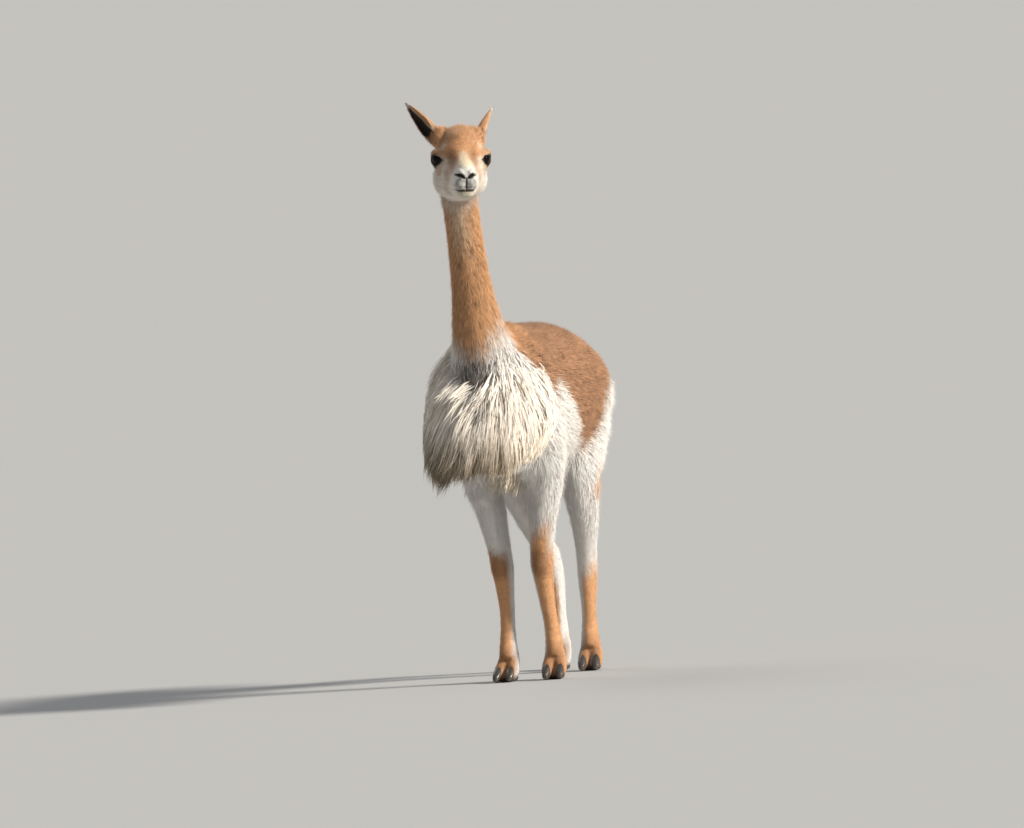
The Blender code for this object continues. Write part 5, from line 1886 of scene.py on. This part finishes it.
@dataclass(frozen=True)
class Eye:
    """One eye: the globe with its cornea, the lids and the lashes."""

    anatomy: Anatomy
    side: int
    bands: tuple[LidBand, ...] = (
        LidBand(-1.5, -0.0010, 0.0, 0.0),
        LidBand(-0.5, 0.0010, 0.0, 0.0),
        LidBand(2, 0.0024, 0.0, 0.0),
        LidBand(6, 0.0032, 0.15, 0.0014),
        LidBand(12, 0.0034, 0.50, 0.0014),
        LidBand(19, 0.0030, 0.85, 0.0010),
        LidBand(26, 0.0020, 1.0, 0.0004),
        LidBand(33, 0.0, 1.0, -0.0012),
    )
    segments: int = 72
    iris: float = 0.0160
    pupil_half_width: float = 0.0072
    pupil_half_height: float = 0.0042
    cornea_rise: float = 0.0012
    lashes: int = 72
    lash_length: float = 0.0084

    def word(self) -> str:
        """Left or right."""
        return "left" if self.side > 0 else "right"

    def globe(self) -> Object:
        """The eyeball, whose clear front bulges, with the iris and its wide low pupil."""
        radius = self.anatomy.eye_radius
        bm = bmesh.new()
        bmesh.ops.create_uvsphere(bm, u_segments=56, v_segments=36, radius=radius - 0.0003)
        for vert in bm.verts:
            from_middle = math.hypot(vert.co.x, vert.co.y) / (self.iris * 0.95)
            if vert.co.z > 0:
                vert.co *= 1 + self.cornea_rise / radius * max(0.0, 1 - from_middle**2)
        made = from_bmesh("eyeball_" + self.word(), bm)
        points = coordinates(made.data)
        x, y, z = points.T
        off = np.hypot(x, y)
        turn = np.arctan2(y, x)
        spokes = 1 + 0.30 * np.sin(turn * 31 + 3 * np.sin(turn * 7))
        brown = np.array((0.008, 0.0040, 0.0022))
        colours = mixed(tint(Tint.SEPIA) * 0.5, brown, ease(self.iris, self.iris * 0.85, off))
        colours = colours * np.where(off < self.iris * 0.9, spokes, 1)[:, None]
        ring = 1 - ease(0.0, 0.0016, np.abs(off - self.iris))
        colours = mixed(colours, tint(Tint.BLACK), ring * 0.9)
        pupil = 1 - ease(0.85, 1.15, np.hypot(x / self.pupil_half_width, y / self.pupil_half_height))
        colours = mixed(colours, tint(Tint.BLACK) * 0.4, pupil * (z > 0))
        paint(made.data, colours)
        made.data.transform(self.anatomy.eye_matrix(self.side))
        return made

    def lids(self, hide: Hide, markings: Markings) -> Object:
        """Both lids as one band round the opening, from a dark rounded rim on the globe out to the skin.

        Args:
            hide: The skin, which the band's outer edge follows.
            markings: The colours of the coat.

        Returns:
            The new object, without its finish.
        """
        matrix = self.anatomy.eye_matrix(self.side)
        middle = matrix.translation
        radius = self.anatomy.eye_radius
        bm = bmesh.new()
        ring = bmesh.ops.create_circle(bm, segments=self.segments, radius=1.0)["verts"]
        turns = np.array([math.atan2(vert.co.y, vert.co.x) for vert in ring])
        reaches = self.anatomy.opening(turns, self.side)
        edges = list(bm.edges)
        for number, band in enumerate(self.bands):
            if number:
                edges, ring = next_ring(bm, edges, ring)
            for vert, turn, reach in zip(ring, turns, reaches):
                slope = min(reach + math.radians(band.beyond), math.radians(112))
                way = off_axis(slope, turn)
                hit = hide.surface.ray_cast(middle, matrix.to_3x3() @ way)[0]
                skin = (hit - middle).length if hit else radius + 0.004
                globe = radius + band.off_globe
                heavy = 0.0012 * max(0.0, math.sin(turn)) * math.sin(math.pi * number / (len(self.bands) - 1))
                fold = 0.0005 * math.sin(number * 2.6 + 0.5) * (2 <= number <= 5)
                far = globe + (skin + band.off_skin - globe) * band.on_skin + heavy + fold
                vert.co = way * max(far, radius - 0.001 if number == 0 else radius + 0.0004)
        bmesh.ops.bridge_loops(bm, edges=[edge for edge in bm.edges if edge.is_boundary])
        bmesh.ops.recalc_face_normals(bm, faces=bm.faces)
        made = from_bmesh("eyelid_" + self.word(), bm)
        rounded(made, 1)
        made.data.transform(matrix)
        points = coordinates(made.data)
        regions = np.full(len(points), Region.HEAD.value)
        paint(made.data, markings.colours(points, facings(made.data), regions) * (0.72, 0.66, 0.60))
        return made

    def lash_tufts(self) -> Object:
        """The long lashes of the upper lid, which curve out and down, and the short ones of the lower."""
        draw = np.random.default_rng(60 + self.side)
        radius = self.anatomy.eye_radius
        matrix = self.anatomy.eye_matrix(self.side)
        paths, across = [], []
        for number in range(self.lashes):
            upper = number % 5 != 0
            turn = draw.uniform(0.36, 0.74) * math.pi * (1 if upper else -1)
            turn = turn if self.side > 0 else math.copysign(math.pi, turn) - turn
            slope = float(self.anatomy.opening(np.array([turn]), self.side)[0])
            slope = min(slope, math.radians(70)) + math.radians(1)
            way = off_axis(slope, turn)
            length = self.lash_length * draw.uniform(0.55, 1.05) * (1 if upper else 0.35)
            line = [way * (radius + 0.0020)]
            heading = (way + Vector((0, -0.25 if upper else 0.0, 0.5))).normalized()
            for _ in range(3):
                line.append(line[-1] + heading * length / 3)
                droop = Vector((math.cos(turn) * 0.30, -0.75 if upper else -0.15, -0.10))
                heading = (heading + droop * 0.5).normalized()
            paths.append([tuple(place) for place in line])
            across.append(tuple(Vector((1, 0, 0)).cross(heading).normalized()))
        lines = carried(np.array(paths), matrix)
        sides = unit(np.array(across) @ np.array(matrix)[:3, :3].T)
        facing = unit(np.cross(unit(lines[:, -1] - lines[:, 0]), sides))
        widths = np.tile((0.00095, 0.0008, 0.0005), (len(lines), 1))
        colours = np.tile(tint(Tint.BLACK), (len(lines), 4, 1))
        patches = draw.uniform(0.1, 0.9, (len(lines), 2))
        tufts = Tufts(lines, sides, facing, widths, widths * 0.8, colours, patches, softness=0.0)
        return tufts.built("lashes_" + self.word())


@dataclass(frozen=True)
class Nails:
    """The eight nails, each a rounded horn in place of its plain node."""

    grain: float = 0.0017
    smoothing: int = 4

    def names(self) -> list[str]:
        """The nodes of the nails."""
        return sorted(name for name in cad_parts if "nail" in name)

    def built(self, node: str) -> Object:
        """One nail with a smooth, worn edge."""
        made = fused(node.replace("nail", "claw"), [node_copy(node, 0.0004, 1)], self.grain, self.smoothing)
        points = coordinates(made.data)
        streaks = 1 + 0.25 * waves(points * (1, 0.25, 0.25), 0.004, 21)
        worn = ease(0.012, 0.004, points[:, 2])
        colours = mixed(np.array((0.060, 0.050, 0.044)), np.array((0.16, 0.13, 0.10)), worn * 0.6)
        paint(made.data, colours * streaks[:, None])
        return made


@dataclass(frozen=True)
class Studio:
    """The plain pale floor, the soft light and the camera."""

    azimuth: float = math.radians(16)
    elevation: float = math.radians(2)
    roll: float = math.radians(4.5)
    scale: float = 0.002306  # metres that one pixel of the picture shows
    picture: tuple[int, int] = (1024, 828)
    foot_pixel: tuple[float, float] = (539.0, 678.0)  # where the picture shows the animal's own origin
    distance: float = 60.0
    sensor: float = 36.0
    floor_radius: float = 700.0

    def axes(self) -> tuple[Vector, Vector, Vector]:
        """The camera's right, up and backward directions before its roll."""
        right = Vector((math.cos(self.azimuth), math.sin(self.azimuth), 0))
        back = Vector((
            math.sin(self.azimuth) * math.cos(self.elevation),
            -math.cos(self.azimuth) * math.cos(self.elevation),
            math.sin(self.elevation),
        ))
        return right, back.cross(right), back

    def camera(self, shift: Vector) -> None:
        """Sets the camera at the picture's viewing angle and framing."""
        right, up, back = self.axes()
        du = self.picture[0] / 2 - self.foot_pixel[0]
        dv = self.foot_pixel[1] - self.picture[1] / 2
        across = (du * math.cos(self.roll) + dv * math.sin(self.roll)) * self.scale
        rise = (dv * math.cos(self.roll) - du * math.sin(self.roll)) * self.scale
        target = shift + right * across + up * rise
        data = bpy.data.cameras.new("camera")
        data.sensor_width = self.sensor
        data.lens = self.sensor * self.distance / (self.picture[0] * self.scale)
        data.clip_start = 1.0
        data.clip_end = 2000.0
        made = bpy.data.objects.new("camera", data)
        bpy.context.scene.collection.objects.link(made)
        frame_of_camera = Matrix((right, up, back)).transposed().to_4x4()
        place = Matrix.Translation(target + back * self.distance)
        made.matrix_world = place @ frame_of_camera @ Matrix.Rotation(-self.roll, 4, "Z")
        bpy.context.scene.camera = made

    def sun(
        self, name: str, swing: float, height: float, strength: float, angle: float, colour: tuple[float, ...]
    ) -> None:
        """A large soft lamp far away.

        Args:
            name: The lamp's name.
            swing: How far it stands to the right of the camera.
            height: How high it stands, as an angle.
            strength: Its strength.
            angle: How large it looks.
            colour: Its colour.
        """
        right, _, back = self.axes()
        sideways = right * math.sin(swing) + Vector((back.x, back.y, 0)).normalized() * math.cos(swing)
        towards = sideways * math.cos(height) + UP * math.sin(height)
        data = bpy.data.lights.new(name, "SUN")
        data.energy = strength
        data.angle = angle
        data.color = colour
        made = bpy.data.objects.new(name, data)
        bpy.context.scene.collection.objects.link(made)
        made.rotation_euler = towards.to_track_quat("Z", "Y").to_euler()

    def lights(self) -> None:
        """A warm key from the picture's right, a faint rim from behind and an even pale surround."""
        self.sun("key", math.radians(62), math.radians(28), 4.8, math.radians(10), (1.0, 0.945, 0.86))
        self.sun("rim", math.radians(-150), math.radians(38), 0.6, math.radians(30), (1.0, 0.97, 0.93))
        world = bpy.data.worlds.new("surround")
        bpy.context.scene.world = world
        world.use_nodes = True
        set_sockets(world.node_tree.nodes["Background"], {"Color": (0.90, 0.94, 1.0, 1), "Strength": 0.30})
        bpy.context.scene.view_settings.view_transform = "Standard"

    def floor(self) -> None:
        """A wide round matt floor."""
        bm = bmesh.new()
        bmesh.ops.create_circle(bm, cap_ends=True, segments=96, radius=self.floor_radius)
        made = from_bmesh("floor", bm)
        material = bpy.data.materials.new("pale_floor")
        material.use_nodes = True
        values = {"Base Color": (0.50, 0.50, 0.495, 1), "Roughness": 0.9, "Specular IOR Level": 0.2}
        set_sockets(material.node_tree.nodes["Principled BSDF"], values)
        made.data.materials.append(material)

    def build(self, shift: Vector) -> None:
        """Floor, light and camera."""
        self.floor()
        self.lights()
        self.camera(shift)


FLESH = (
    "head", "neck", "torso", "tail", "chest", "ear_left", "ear_right",
    "foreleg_left", "foreleg_right", "hindleg_left", "hindleg_right",
    "forefoot_left", "forefoot_right", "hindfoot_left", "hindfoot_right",
)

# The short even coats, and the ruffled one of the side
SHORT = Coat("", (), 0, 0, clump=5, pull=0.15, shade=0.85, uneven=0.14, speck=0.0)
LEG = replace(SHORT, pull=0.20, shade=0.88, uneven=0.12, slot="leg_coat")
SIDE = Coat(
    "coat_side_left", (Region.TORSO,), 42000, 0.0020, side=1, clump=7, pull=0.34, shade=0.74, uneven=0.32,
    speck=0.04, ruffle=0.38, lift=1.22, stray=0.10, bleed=0.006, seed=25,
)

COATS = (
    replace(
        SHORT, name="coat_face", regions=(Region.FACE,), count=18000, width=0.0010, shade=0.90, uneven=0.12,
        bleed=0.0010, seed=20,
    ),
    Coat(
        "coat_head", (Region.HEAD,), 36000, 0.0012, clump=5, pull=0.22, shade=0.80, uneven=0.18,
        speck=0.02, bleed=0.0018, ruffle=0.28, lift=1.1, stray=0.10, seed=21,
    ),
    replace(
        SHORT, name="coat_ears", regions=(Region.EARS,), count=12000, width=0.0010, bleed=0.0008, seed=22,
    ),
    Coat(
        "coat_neck", (Region.NECK,), 34000, 0.0017, clump=7, pull=0.40, shade=0.72, uneven=0.28,
        speck=0.02, bleed=0.008, ruffle=0.24, lift=0.95, seed=23,
    ),
    Coat(
        "coat_chest", (Region.CHEST,), 12000, 0.0026, steps=2, clump=7, pull=0.36, shade=0.86, uneven=0.12,
        speck=0.0, bleed=0.007, ruffle=0.24, seed=24, slot="white_coat",
    ),
    SIDE,
    replace(SIDE, name="coat_side_right", side=-1, seed=26),
    replace(LEG, name="coat_forelegs", regions=(Region.FORELEGS,), count=27000, width=0.0015, seed=27),
    replace(LEG, name="coat_hindlegs", regions=(Region.HINDLEGS,), count=29000, width=0.0016, seed=28),
    replace(
        SHORT, name="coat_feet", regions=(Region.FEET,), count=9500, width=0.0011, bleed=0.002, seed=29,
        slot="leg_coat",
    ),
    Coat(
        "coat_tail", (Region.TAIL,), 3200, 0.0028, steps=3, clump=10, pull=0.50, shade=0.65, uneven=0.18,
        speck=0.03, seed=30,
    ),
)


def bald(hide: Hide) -> Array:
    """How much hair each triangle of the skin grows: none in the eyes, the nostrils and the mouth."""
    anatomy = hide.anatomy
    x, y, z = anatomy.in_head(hide.middles).T
    wanted = ease(1.16, 1.34, anatomy.opening_share(hide.middles))
    front = ease(-0.100, -0.112, y)
    off, _ = to_line(np.column_stack((np.abs(x), z)), np.array(anatomy.nostril))
    wanted *= 1 - front * ease(0.0085, 0.0060, off)
    lobe_off = np.hypot((np.abs(x) - anatomy.lobe[0]) / 0.0125, (z - anatomy.lobe[1]) / 0.0140)
    wanted *= 1 - front * ease(1.05, 0.85, lobe_off)
    height = anatomy.mouth_line(anatomy.jaw_turn(np.abs(x), y))
    wanted *= 1 - ease(0.0042, 0.0026, np.abs(z - height)) * ease(-0.060, -0.075, y)
    small = np.interp(y, (-0.12, -0.05, 0.05), (2.0, 1.3, 1.0))
    return np.where(among(hide.regions, Region.FACE, Region.HEAD), wanted * small, 1.0)


def main() -> None:
    """Builds every piece in order and reports it."""
    logging.basicConfig(level=logging.INFO, format="%(name)s %(message)s")
    anatomy = Anatomy()
    markings = Markings(anatomy)
    under_coat = HairFinish("skin_under_coat", roughness=0.75, sheen=0.15, bump=0.55, grain=300.0).material()
    hair = HairFinish("hair").material()

    skin = Skin(anatomy).build()
    bare = Hide([skin], anatomy)
    paint(skin.data, markings.colours(bare.points, bare.normals, anatomy.regions(bare.points)) * 0.88)
    dressed(skin, under_coat, "fawn_coat", *FLESH)

    wet = GlossFinish("wet_eye", roughness=0.05, coat=0.25, sharpness=1.20).material()
    eyes = [Eye(anatomy, side) for side in (-1, 1)]
    lids = []
    for eye in eyes:
        dressed(eye.globe(), wet, "eye", "eye_" + eye.word())
        lids.append(dressed(eye.lids(bare, markings), under_coat, "fawn_coat"))
        dressed(eye.lash_tufts(), hair, "eye")

    hide = Hide([skin, *lids], anatomy)
    lie = Lie(anatomy)
    unwrap = Unwrap(anatomy)
    wanted = bald(hide)
    for coat in COATS:
        dressed(coat.grown(hide, lie, markings, unwrap, wanted), hair, coat.slot)
    for bib in (Bib("bib_upper", seed=11), Bib("bib_lower", seed=12, first_row=0.42, brisket_clumps=16)):
        dressed(bib.built(hide, markings, unwrap), hair, "white_coat")

    horn = GlossFinish("nail_horn", roughness=0.42, coat=0.15, bump=0.5, streaks=500.0).material()
    nails = Nails()
    for node in nails.names():
        dressed(nails.built(node), horn, "nail", node)

    Studio().build(anatomy.shift())


if __name__ == "__main__":
    main()
